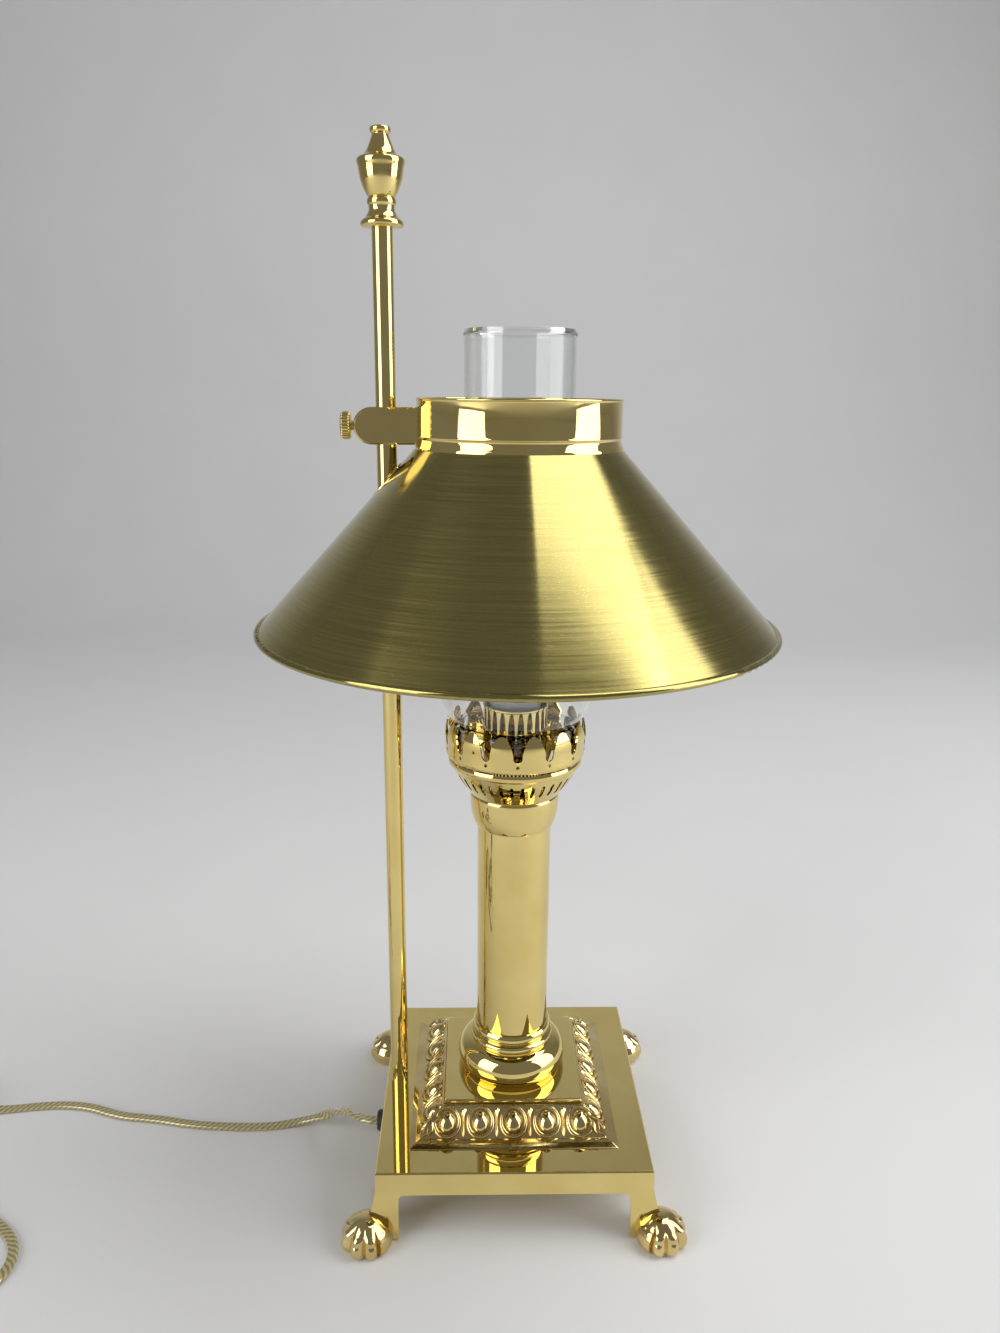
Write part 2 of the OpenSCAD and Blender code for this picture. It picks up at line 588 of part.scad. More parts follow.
// Free cord from the switch, round a loop at the edge of the view, to the coil
loop_path = [[-373, 22, 6], [-379, 22, 6], [-385.4, 20.8, 5], [-391.5, 17, 3.6], [-396, 11, 2.4],
    [-398, 3, 1.8], [-397, -5, 1.5], [-393, -12, 1.4], [-386.6, -17.4, 1.4], [-378, -20.4, 1.4],
    [-366, -21, 1.4], [-350, -21, 1.4], [-335, -21, 1.4], [-320, -21.2, 1.4], [-308, -22.6, 1.4],
    [-298, -26.4, 1.4], [-289.6, -33, 1.4], [-283, -41.4, 1.4], [-276.6, -50, 1.4],
    [-269, -57.4, 1.4], [-260.4, -63.4, 1.4], [-253, -70.4, 1.4], [-248.4, -78.6, 1.4],
    [-247, -87, 1.4], [-249, -95.4, 1.4], [-254.4, -102.6, 1.5], [-262, -107.4, 1.7],
    [-271, -109.6, 1.9], [-282, -110, 2.1], [-300, -110, 2.1], [-320, -110, 2.1],
    [-332, -110, 2.1]];
// Free cord from the coil down to the plug
tail_path = [[-332, -110, 5.4], [-338, -110, 5.4], [-346, -110.6, 5.6], [-354, -112, 6],
    [-361, -113.4, 6.3], [-367, -114, 6.5], [-373, -114, 6.5]];
// Coil: two flat layers that spiral in and out, the second on the first
coil_in = 21;
coil_step = 6;
coil_layer = 3.3;
coil_rings = 24;
coil_low = 2.1;
coil_mid = [-332, -110 + coil_in + coil_step * 3];
function coil_point(t) = let (n = coil_turns, s = abs(t - n),
    r = coil_in + coil_step * (3 - n) + coil_step * s, a = -90 - 360 * t)
    [coil_mid[0] + r * cos(a), coil_mid[1] + r * sin(a),
        coil_low + coil_layer * smooth((t - n + 0.25) / 0.5)];
coil_body = [for (k = [1:2 * coil_turns * coil_rings - 1]) coil_point(k / coil_rings)];
coil_path = concat([[-332, -110, coil_low], [-337.3, -110, coil_low]], coil_body,
    [[-326.7, -110, coil_low + coil_layer], [-332, -110, coil_low + coil_layer]]);
coil_skin = [for (i = [0:len(coil_path) - 1])
    cord_ring(coil_path[i], way(coil_path, i), cord_w, cord_t, 6)];
function coil_gap() = min([for (i = [0:len(coil_skin) - 1]) for (j = [i + 8:1:len(coil_skin) - 1])
    if (norm(coil_path[i] - coil_path[j]) < 9) for (a = coil_skin[i]) for (b = coil_skin[j]) norm(a - b)]);
function path_len(path) = let (steps = [for (i = [1:len(path) - 1]) norm(path[i] - path[i - 1])])
    steps * [for (s = steps) 1];

// Bushing in the left wall of the base: its rim follows the wall outside, its flange holds inside
module at_exit() { translate([-hw - bushing_nose, exit_y, exit_z]) rotate([0, 90, 0]) children(); }
module cord_bushing() {
    depth = bushing_nose + sheet + 1.4;
    color([0.06, 0.06, 0.06]) difference() {
        union() {
            difference() {
                at_exit() rotate_extrude()
                    polygon([[0, 0], [4.6, 0], [5.4, 0.7], [5.6, bushing_nose], [0, bushing_nose]]);
                base_form(-face_gap, plate_z, 1);
            }
            at_exit() cylinder(r = 3.95, h = depth);
            intersection() {
                at_exit() cylinder(r = 4.4, h = depth);
                base_form(sheet + face_gap, plate_z - 2 - face_gap, 1);
            }
        }
        at_exit() translate([0, 0, -1]) cylinder(r = 2.75, h = 12);
    }
}
// Wire inside: from the bushing, under the plate, and up the pipe to the lamp holder
inner_path = [[-hw - 3.2, exit_y, exit_z], [-67, exit_y, exit_z], [-60, -22.6, plate_z - 7],
    [-50, -19.4, plate_z - 8.6], [-40, -15.4, plate_z - 11], [-30, -11.2, plate_z - 13.6],
    [-21, -7.6, plate_z - 15.8], [-14, -5, plate_z - 17.1], [-9, -3.2, plate_z - 17.5],
    [-5.4, -1.9, plate_z - 16.7], [-2.6, -0.9, plate_z - 14.7], [-0.7, -0.2, plate_z - 11.7],
    [0, 0, plate_z - 8.5], [0, 0, plate_z - 2], [0, 0, 100], [0, 0, 160], [0, 0, cap_top + 7.6]];
module inner_cord() {
    color(gold_cord) skin([for (i = [0:len(inner_path) - 1]) round_ring(inner_path[i],
        way(inner_path, i), 2.6, 8)]);
}
module cord_lead() { color(gold_cord) flat_cord(lead_path, 10); }
module cord_loop() { color(gold_cord) flat_cord(loop_path, 10); }
module cord_tail() { color(gold_cord) flat_cord(tail_path, 10); }
module cord_coil() {
    echo(least_gap_of_coil = coil_gap(), coil_length = path_len(coil_path),
        cord_length = path_len(coil_path) + path_len(lead_path) + path_len(loop_path) + path_len(tail_path));
    color(gold_cord) skin(coil_skin);
}
// Tie round the coil's bundle
module cord_tie() {
    y0 = coil_mid[1] + 20.9;
    y1 = coil_mid[1] + 39.2;
    color([0.1, 0.1, 0.1]) translate([coil_mid[0] - 2, 0, 0]) difference() {
        union() {
            translate([0, y0 - 0.6, 0]) cube([4, y1 - y0 + 1.2, 7.7]);
            translate([2, y1 + 0.4, 6.6]) rotate([-90, 0, 20]) cylinder(r = 0.8, h = 9, $fn = 16);
            translate([2, y1 + 0.4, 6.6]) rotate([-90, 0, -25]) cylinder(r = 0.8, h = 7, $fn = 16);
        }
        translate([-1, y0, 0.6]) cube([6, y1 - y0, 6.5]);
    }
}

// Switch on the cord: two halves with a thumb wheel between them

switch_c = [-347, 22];
module switch_outline(inset) {
    l = 26 - inset;
    w = 11 - inset;
    translate([-l, -w + 5]) square([2 * l, 2 * w - 10]);
    translate([-l + 5, -w]) square([2 * l - 10, 2 * w]);
    for (a = [-1, 1]) for (b = [-1, 1]) translate([a * (l - 5), b * (w - 5)]) circle(5);
}
module switch_lower() {
    color([0.3, 0.22, 0.12]) translate([switch_c[0], switch_c[1], 0]) {
        difference() {
            union() {
                linear_extrude(1) switch_outline(0.8);
                translate([0, 0, 1]) linear_extrude(5) switch_outline(0);
            }
            translate([0, 4, 3.4]) cylinder(r = 9.4, h = 5);
        }
        translate([0, 4, 3]) cylinder(r = 1.55, h = 5.3);
    }
}
module switch_upper() {
    color([0.3, 0.22, 0.12]) translate([switch_c[0], switch_c[1], 0]) difference() {
        union() {
            translate([0, 0, 6]) linear_extrude(5.3) switch_outline(0);
            translate([0, 0, 11.3]) linear_extrude(1.2) switch_outline(1);
        }
        translate([0, 4, 4]) cylinder(r = 9.4, h = 4.7);
        translate([-12, -4, 12]) cylinder(r = 1.8, h = 2);
        translate([12, -4, 12]) cylinder(r = 1.8, h = 2);
    }
}
module switch_wheel() {
    color([0.85, 0.8, 0.6]) translate([switch_c[0], switch_c[1] + 4, 3.7]) difference() {
        cylinder(r = 9, h = 4.6);
        translate([0, 0, -1]) cylinder(r = 1.6, h = 8);
        for (k = [0:17]) rotate([0, 0, 20 * k]) translate([9.4, 0, -1]) cylinder(r = 0.8, h = 8, $fn = 16);
    }
}

// Plug with its tapered strain relief and two flat blades

module plug_place() { translate([-373, -114, 6.5]) rotate([0, 0, 180]) children(); }
module plug_body() {
    top = [[0, 3.7], [17, 5.2], [21, 7.4], [25, 10.6], [29, 12], [50, 12.5], [52, 11.9]];
    side = [[0, 2.5], [17, 3.3], [21, 4.5], [25, 5.9], [29, 6.5], [50.5, 6.5], [52, 6]];
    color([0.3, 0.22, 0.12]) plug_place() intersection() {
        linear_extrude(40, center = true) polygon(concat(top,
            [for (i = [len(top) - 1:-1:0]) [top[i][0], -top[i][1]]]));
        rotate([90, 0, 0]) linear_extrude(60, center = true)
            polygon(concat(side, [for (i = [len(side) - 1:-1:0]) [side[i][0], -side[i][1]]]));
    }
}
module plug_blade(y) {
    color(brass) plug_place() translate([52, y - 0.75, -3.15]) difference() {
        cube([15.9, 1.5, 6.3]);
        translate([12, -1, 3.15]) rotate([-90, 0, 0]) cylinder(r = 1.6, h = 4, $fn = 24);
    }
}
module plug_blade_left() { plug_blade(-6.35); }
module plug_blade_right() { plug_blade(6.35); }

base_shell();
paw_front_right();
paw_back_right();
paw_back_left();
paw_front_left();
base_moulding();
inner_plate();
column_foot();
column_tube();
column_capital();
lamp_pipe();
pipe_nut();
pipe_washer();
gallery_bowl();
gallery_crown();
socket_cap();
socket_shell();
socket_liner();
socket_core();
socket_thread();
socket_contact();
bulb_glass();
bulb_base();
bulb_insulator();
bulb_contact();
chimney();
rod();
rod_washer();
rod_nut();
finial();
clamp_liner();
clamp_arm();
thumb_screw_shank();
thumb_screw_head();
shade_collar();
shade_cone();
cord_bushing();
inner_cord();
cord_lead();
switch_lower();
switch_upper();
switch_wheel();
cord_loop();
cord_coil();
cord_tie();
cord_tail();
plug_body();
plug_blade_left();
plug_blade_right();
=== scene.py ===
"""Looks of the brass table lamp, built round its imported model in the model's own frame."""
import json
import logging
import math
from collections.abc import Sequence
from dataclasses import dataclass, field
from enum import Enum

import bmesh
import bpy
from mathutils import Matrix, Vector


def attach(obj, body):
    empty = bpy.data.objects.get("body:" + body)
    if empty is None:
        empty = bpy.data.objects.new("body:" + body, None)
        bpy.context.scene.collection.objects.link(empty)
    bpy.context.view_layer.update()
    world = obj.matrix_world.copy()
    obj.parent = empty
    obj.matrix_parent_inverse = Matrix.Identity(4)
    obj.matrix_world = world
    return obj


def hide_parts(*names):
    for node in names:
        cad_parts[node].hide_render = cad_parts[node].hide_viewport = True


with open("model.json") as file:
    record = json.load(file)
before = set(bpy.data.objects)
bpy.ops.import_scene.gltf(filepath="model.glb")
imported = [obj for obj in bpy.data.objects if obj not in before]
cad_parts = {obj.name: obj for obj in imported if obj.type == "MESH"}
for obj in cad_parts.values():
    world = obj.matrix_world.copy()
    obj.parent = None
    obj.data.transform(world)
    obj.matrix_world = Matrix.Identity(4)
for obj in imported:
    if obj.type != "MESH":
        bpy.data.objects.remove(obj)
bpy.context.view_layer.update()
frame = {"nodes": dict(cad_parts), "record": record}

log = logging.getLogger("lamp")
MM = 0.001
Point = tuple[float, float]
Colour = tuple[float, float, float]


class Shell(Enum):
    """How a turned outline is closed."""

    LOOP = "loop"
    AXIS = "axis"


# Outlines, in millimetres


def curve_through(points: Sequence[Sequence[float]], steps: int = 5) -> list[tuple[float, ...]]:
    """Smooth line through points in any number of dimensions.

    Args:
        points: The points to pass through.
        steps: Stretches between two neighbouring points.

    Returns:
        The points of the line, both ends included.
    """
    out = []
    for i in range(len(points) - 1):
        a, b, c, d = points[max(i - 1, 0)], points[i], points[i + 1], points[min(i + 2, len(points) - 1)]
        for k in range(steps):
            t = k / steps
            out.append(tuple(0.5 * (2 * q + (r - p) * t + (2 * p - 5 * q + 4 * r - s) * t * t
                                    + (3 * q - p - 3 * r + s) * t ** 3)
                             for p, q, r, s in zip(a, b, c, d)))
    return out + [tuple(points[-1])]


def rounded(points: Sequence[Point], radius: float = 0.3, steps: int = 3) -> list[Point]:
    """Rounds the corners of a closed outline.

    Args:
        points: The outline's corners.
        radius: Length taken from each side of a corner, at most 0.4 of the side.
        steps: Stretches in each rounded corner.

    Returns:
        The rounded outline.
    """
    out, n = [], len(points)
    for i in range(n):
        p, a, b = Vector(points[i]), Vector(points[i - 1]), Vector(points[(i + 1) % n])
        if p.x < 1e-6 or (p - a).angle(b - p, 0) < math.radians(12):
            out.append(tuple(p))
            continue
        s = p + (a - p).normalized() * min(radius, 0.4 * (a - p).length)
        e = p + (b - p).normalized() * min(radius, 0.4 * (b - p).length)
        out += [tuple(s.lerp(p, k / steps).lerp(p.lerp(e, k / steps), k / steps)) for k in range(steps + 1)]
    return out


# Meshes


def finished(name: str, bm: bmesh.types.BMesh, sharp: float = 38) -> bpy.types.Object:
    """Makes an object of a mesh being built.

    Args:
        name: The piece's name.
        bm: The mesh, in metres; it is freed.
        sharp: Angle in degrees past which an edge stays sharp.

    Returns:
        The new object, in the scene.
    """
    mesh = bpy.data.meshes.new(name)
    bm.to_mesh(mesh)
    bm.free()
    mesh.shade_smooth()
    mesh.set_sharp_from_angle(angle=math.radians(sharp))
    obj = bpy.data.objects.new(name, mesh)
    bpy.context.scene.collection.objects.link(obj)
    return obj


def turned(name: str, outline: Sequence[Point], shell: Shell = Shell.LOOP, segments: int = 128,
           place: Matrix = Matrix.Identity(4)) -> bpy.types.Object:
    """Turns an outline of (radius, height) about the upright axis.

    Args:
        name: The piece's name.
        outline: Points in millimetres, counter-clockwise with radius to the right.
        shell: LOOP for a closed outline, AXIS for one whose ends lie on the axis.
        segments: Steps round the axis.
        place: Where the piece goes, in metres.

    Returns:
        The turned piece.
    """
    bm = bmesh.new()
    rings = []
    for r, z in outline:
        if r < 1e-6:
            rings.append([bm.verts.new((0, 0, z * MM))])
        else:
            rings.append([bm.verts.new((r * MM * math.cos(2 * math.pi * j / segments),
                                        r * MM * math.sin(2 * math.pi * j / segments), z * MM))
                          for j in range(segments)])
    pairs = list(zip(rings, rings[1:]))
    if shell is Shell.LOOP:
        pairs.append((rings[-1], rings[0]))
    for a, b in pairs:
        for j in range(segments):
            k = (j + 1) % segments
            if len(a) > 1 and len(b) > 1:
                bm.faces.new((a[j], a[k], b[k], b[j]))
            elif len(a) > 1:
                bm.faces.new((a[j], a[k], b[0]))
            elif len(b) > 1:
                bm.faces.new((a[0], b[k], b[j]))
    bm.transform(place)
    return finished(name, bm)


def lofted(name: str, rings: Sequence[Sequence[Vector]], capped: bool = True, looped: bool = False,
           uv_step: float = 0.0) -> bpy.types.Object:
    """Skins rings of the same number of points.

    Args:
        name: The piece's name.
        rings: The rings, in metres, each turning the same way.
        capped: Whether the first and last rings are closed by a fan.
        looped: Whether the last ring joins the first.
        uv_step: Where above zero, a UV map is made: metres between rings along, share of a turn across.

    Returns:
        The skinned piece.
    """
    bm = bmesh.new()
    verts = [[bm.verts.new(p) for p in ring] for ring in rings]
    layer = bm.loops.layers.uv.new("along") if uv_step else None
    m = len(rings[0])
    spans = list(zip(range(len(rings)), range(1, len(rings))))
    if looped:
        spans.append((len(rings) - 1, 0))
    for i, k in spans:
        for j in range(m):
            n = (j + 1) % m
            face = bm.faces.new((verts[i][j], verts[i][n], verts[k][n], verts[k][j]))
            if layer:
                for loop, uv in zip(face.loops, ((i, j), (i, j + 1), (k, j + 1), (k, j))):
                    loop[layer].uv = (uv[0] * uv_step, uv[1] / m)
    if capped and not looped:
        for ring, back in ((verts[0], True), (verts[-1], False)):
            centre = bm.verts.new(sum((v.co for v in ring), Vector()) / m)
            for j in range(m):
                a, b = ring[j], ring[(j + 1) % m]
                bm.faces.new((centre, b, a) if back else (centre, a, b))
    bmesh.ops.recalc_face_normals(bm, faces=bm.faces)
    return finished(name, bm)


def tube_rings(path: Sequence[Vector], radii: Sequence[float], sides: int = 10,
               closed: bool = False) -> list[list[Vector]]:
    """Round rings along a path.

    Args:
        path: Points in metres.
        radii: One radius for each point, in metres.
        sides: Points in a ring.
        closed: Whether the path returns to its start.

    Returns:
        The rings.
    """
    rings, n, side = [], len(path), None
    for i, p in enumerate(path):
        a = path[i - 1] if closed or i else p
        b = path[(i + 1) % n] if closed or i < n - 1 else p
        t = (b - a).normalized()
        if side is None:
            side = t.orthogonal()
        side = (side - t * side.dot(t)).normalized()
        up = t.cross(side)
        rings.append([p + radii[i] * (math.cos(2 * math.pi * k / sides) * side
                                      + math.sin(2 * math.pi * k / sides) * up) for k in range(sides)])
    return rings


def leaf(name: str, stations: Sequence[tuple[float, float, float]], place: Matrix) -> bpy.types.Object:
    """Carved leaf with a ridge, lying along its own Y.

    Args:
        name: The piece's name.
        stations: Distance along, half width and ridge height at each row, in millimetres.
        place: Where the leaf goes, in metres.

    Returns:
        The leaf.
    """
    rings = []
    for y, w, h in curve_through(stations, 3):
        w, h = max(w, 0.05), max(h, 0.05)
        section = [(-w, -0.8), (-w, 0.1), (-w * 0.62, h * 0.62), (-w * 0.25, h * 0.86), (0, h), (w * 0.25, h * 0.86),
                   (w * 0.62, h * 0.62), (w, 0.1), (w, -0.8)]
        rings.append([place @ (Vector((x, y, z)) * MM) for x, z in section])
    return lofted(name, rings)


def softened(node: str, name: str, width: float = 0.35) -> bpy.types.Object:
    """Copy of a node's solid with its edges eased.

    Args:
        node: The node that it stands for.
        name: The piece's name.
        width: Width of the eased edge, in millimetres.

    Returns:
        The copy, with a live Bevel.
    """
    bm = bmesh.new()
    bm.from_mesh(frame["nodes"][node].data)
    bmesh.ops.remove_doubles(bm, verts=bm.verts, dist=0.004 * MM)
    bmesh.ops.dissolve_limit(bm, angle_limit=math.radians(1), verts=bm.verts, edges=bm.edges)
    bare = bmesh.new()
    made = {v: bare.verts.new(v.co) for v in bm.verts}
    for face in bm.faces:
        bare.faces.new([made[v] for v in face.verts])
    bm.free()
    obj = finished(name, bare, 30)
    edge = obj.modifiers.new("eased", "BEVEL")
    edge.width, edge.segments = width * MM, 2
    edge.limit_method, edge.angle_limit = "ANGLE", math.radians(30)
    edge.use_clamp_overlap = True
    edge.harden_normals = True
    return obj


def plain(obj: bpy.types.Object) -> bpy.types.Object:
    """Turns an object's evaluated shape into its own mesh, and removes its modifiers."""
    bpy.context.view_layer.update()
    graph = bpy.context.evaluated_depsgraph_get()
    mesh = bpy.data.meshes.new_from_object(obj.evaluated_get(graph), depsgraph=graph)
    obj.modifiers.clear()
    obj.data = mesh
    return obj


def joined(name: str, parts: Sequence[bpy.types.Object]) -> bpy.types.Object:
    """Joins pieces into one.

    Args:
        name: The new piece's name.
        parts: The pieces; they are removed.

    Returns:
        The joined piece, with the first piece's materials.
    """
    bm = bmesh.new()
    for part in parts:
        bm.from_mesh(part.data)
    materials = list(parts[0].data.materials)
    for part in parts:
        bpy.data.objects.remove(part)
    obj = finished(name, bm)
    for material in materials:
        obj.data.materials.append(material)
    return obj


# Repeats


class Repeat:
    """Geometry Nodes tree that repeats a piece along a row or round the upright axis."""

    def __init__(self) -> None:
        """Builds the tree once."""
        tree = bpy.data.node_groups.new("repeat", "GeometryNodeTree")
        for name, kind in (("Geometry", "Geometry"), ("Count", "Int"), ("Pitch", "Float"), ("Turn", "Float"),
                           ("Merge", "Float"), ("Finish", "Material")):
            tree.interface.new_socket(name=name, in_out="INPUT", socket_type="NodeSocket" + kind)
        tree.interface.new_socket(name="Geometry", in_out="OUTPUT", socket_type="NodeSocketGeometry")
        self.tree = tree
        inp, out = self._add("NodeGroupInput"), self._add("NodeGroupOutput")
        index = self._add("GeometryNodeInputIndex")
        middle = self._maths("SUBTRACT", inp.outputs["Count"], 1.0)
        offset = self._maths("SUBTRACT", index.outputs[0], self._maths("MULTIPLY", middle, 0.5))
        along = self._maths("MULTIPLY", offset, inp.outputs["Pitch"])
        angle = self._maths("MULTIPLY", index.outputs[0], inp.outputs["Turn"])
        spot, turn = self._add("ShaderNodeCombineXYZ"), self._add("ShaderNodeCombineXYZ")
        points, copies = self._add("GeometryNodePoints"), self._add("GeometryNodeInstanceOnPoints")
        euler, real = self._add("FunctionNodeEulerToRotation"), self._add("GeometryNodeRealizeInstances")
        merge, finish = self._add("GeometryNodeMergeByDistance"), self._add("GeometryNodeSetMaterial")
        for a, b in ((along, spot.inputs["X"]), (angle, turn.inputs["Z"]),
                     (inp.outputs["Count"], points.inputs["Count"]), (spot.outputs[0], points.inputs["Position"]),
                     (points.outputs[0], copies.inputs["Points"]), (inp.outputs["Geometry"], copies.inputs["Instance"]),
                     (turn.outputs[0], euler.inputs[0]), (euler.outputs[0], copies.inputs["Rotation"]),
                     (copies.outputs[0], real.inputs[0]), (real.outputs[0], merge.inputs["Geometry"]),
                     (inp.outputs["Merge"], merge.inputs["Distance"]), (merge.outputs[0], finish.inputs["Geometry"]),
                     (inp.outputs["Finish"], finish.inputs["Material"]), (finish.outputs[0], out.inputs[0])):
            tree.links.new(a, b)

    def _add(self, kind: str) -> bpy.types.Node:
        """Adds a node of a kind."""
        return self.tree.nodes.new(kind)

    def _maths(self, what: str, a: bpy.types.NodeSocket, b: bpy.types.NodeSocket | float) -> bpy.types.NodeSocket:
        """Adds one step of arithmetic.

        Args:
            what: The operation's name.
            a: The first value.
            b: The second value, linked or fixed.

        Returns:
            The result's socket.
        """
        node = self._add("ShaderNodeMath")
        node.operation = what
        self.tree.links.new(a, node.inputs[0])
        if isinstance(b, float):
            node.inputs[1].default_value = b
        else:
            self.tree.links.new(b, node.inputs[1])
        return node.outputs[0]

    def apply(self, obj: bpy.types.Object, finish: bpy.types.Material, count: int, pitch: float = 0.0,
              turn: float = 0.0, merge: float = 0.01) -> bpy.types.Object:
        """Repeats a piece and makes the result its own mesh.

        Args:
            obj: The piece to repeat.
            finish: The material of every copy.
            count: How many there are.
            pitch: Distance between neighbours along X, in millimetres.
            turn: Angle between neighbours about Z, in degrees.
            merge: Distance under which points join, in millimetres.

        Returns:
            The same object, with the repeated mesh.
        """
        modifier = obj.modifiers.new("repeat", "NODES")
        modifier.node_group = self.tree
        values = {"Count": count, "Pitch": pitch * MM, "Turn": math.radians(turn), "Merge": merge * MM, "Finish": finish}
        for item in self.tree.interface.items_tree:
            if item.in_out == "INPUT" and item.name in values:
                modifier[item.identifier] = values[item.name]
        return plain(obj)


# Finishes


class Paint:
    """Small helper that wires one material."""

    def __init__(self, name: str) -> None:
        """Starts a material with a principled shader.

        Args:
            name: The material's name.
        """
        self.material = bpy.data.materials.new(name)
        self.material.use_nodes = True
        self.tree = self.material.node_tree
        self.shader = self.tree.nodes["Principled BSDF"]
        self.where = self.add("ShaderNodeTexCoord").outputs["Object"]

    def add(self, kind: str, **values: object) -> bpy.types.Node:
        """Adds a node and sets its inputs by name, or links them where the value is a socket.

        Args:
            kind: The node's kind.
            **values: Input names, with an underscore for a space, and their values.

        Returns:
            The node.
        """
        node = self.tree.nodes.new(kind)
        for key, value in values.items():
            socket = node.inputs[key.replace("_", " ")]
            if isinstance(value, bpy.types.NodeSocket):
                self.tree.links.new(value, socket)
            else:
                socket.default_value = value
        return node

    def set(self, **values: object) -> None:
        """Sets or links the shader's own sockets, with an underscore for a space.

        Args:
            **values: Socket names and their values.
        """
        for key, value in values.items():
            socket = self.shader.inputs[key.replace("_", " ")]
            if isinstance(value, bpy.types.NodeSocket):
                self.tree.links.new(value, socket)
            else:
                socket.default_value = value

    def stretched(self, x: float, y: float, z: float) -> bpy.types.NodeSocket:
        """Object coordinates scaled along each axis.

        Args:
            x: Scale along X.
            y: Scale along Y.
            z: Scale along Z.

        Returns:
            The scaled coordinates.
        """
        return self.add("ShaderNodeMapping", Vector=self.where, Scale=(x, y, z)).outputs[0]

    def noise(self, scale: float, detail: float = 3, vector: bpy.types.NodeSocket | None = None) -> bpy.types.NodeSocket:
        """Noise between 0 and 1.

        Args:
            scale: Features to a metre.
            detail: Octaves.
            vector: Coordinates, or None for the object's.

        Returns:
            The noise's value.
        """
        return self.add("ShaderNodeTexNoise", Vector=vector or self.where, Scale=scale, Detail=detail).outputs["Fac"]

    def ramp(self, value: bpy.types.NodeSocket, low: float, high: float, start: float = 0.3,
             end: float = 0.7) -> bpy.types.NodeSocket:
        """Maps a value from one span to another.

        Args:
            value: What to map.
            low: Result at the span's start.
            high: Result at the span's end.
            start: The span's start.
            end: The span's end.

        Returns:
            The mapped value.
        """
        node = self.add("ShaderNodeMapRange", Value=value)
        for key, number in (("From Min", start), ("From Max", end), ("To Min", low), ("To Max", high)):
            node.inputs[key].default_value = number
        return node.outputs[0]

    def blend(self, share: bpy.types.NodeSocket, a: Colour, b: Colour) -> bpy.types.NodeSocket:
        """Mixes two colours.

        Args:
            share: How much of the second.
            a: The first colour.
            b: The second colour.

        Returns:
            The mixed colour.
        """
        node = self.tree.nodes.new("ShaderNodeMix")
        node.data_type = "RGBA"
        self.tree.links.new(share, node.inputs[0])
        node.inputs[6].default_value, node.inputs[7].default_value = (*a, 1), (*b, 1)
        return node.outputs[2]

    def bump(self, height: bpy.types.NodeSocket, strength: float, distance: float) -> None:
        """Raises the surface a little.

        Args:
            height: The height's value.
            strength: How strongly.
            distance: Depth in millimetres.
        """
        node = self.add("ShaderNodeBump", Height=height, Strength=strength, Distance=distance * MM)
        self.set(Normal=node.outputs[0])


@dataclass(frozen=True)
class PolishedBrass:
    """Lacquered brass, mirror-bright with faint hazing and hairlines."""

    name: str = "polished_brass"
    light: Colour = (0.85, 0.69, 0.29)
    dull: Colour = (0.77, 0.60, 0.22)
    gloss: float = 0.015
    haze: float = 0.035
    relief: float = 0.02

    def make(self) -> bpy.types.Material:
        """Builds the material."""
        p = Paint(self.name)
        cloud = p.noise(38, 4)
        fine = p.noise(420, 3)
        lines = p.noise(1, 2, p.stretched(90, 90, 2600))
        p.set(Base_Color=p.blend(p.ramp(cloud, 0, 1), self.light, self.dull), Metallic=1.0,
              Roughness=p.ramp(fine, self.gloss, self.gloss + self.haze))
        height = p.add("ShaderNodeMath")
        height.operation = "ADD"
        p.tree.links.new(fine, height.inputs[0])
        p.tree.links.new(lines, height.inputs[1])
        p.bump(height.outputs[0], self.relief, 0.05)
        return p.material


@dataclass(frozen=True)
class CastBrass(PolishedBrass):
    """Cast ornament: a little rougher, with brown patches laid at random."""

    name: str = "cast_brass"
    light: Colour = (0.88, 0.74, 0.38)
    dull: Colour = (0.62, 0.45, 0.18)
    gloss: float = 0.06
    haze: float = 0.10
    relief: float = 0.10


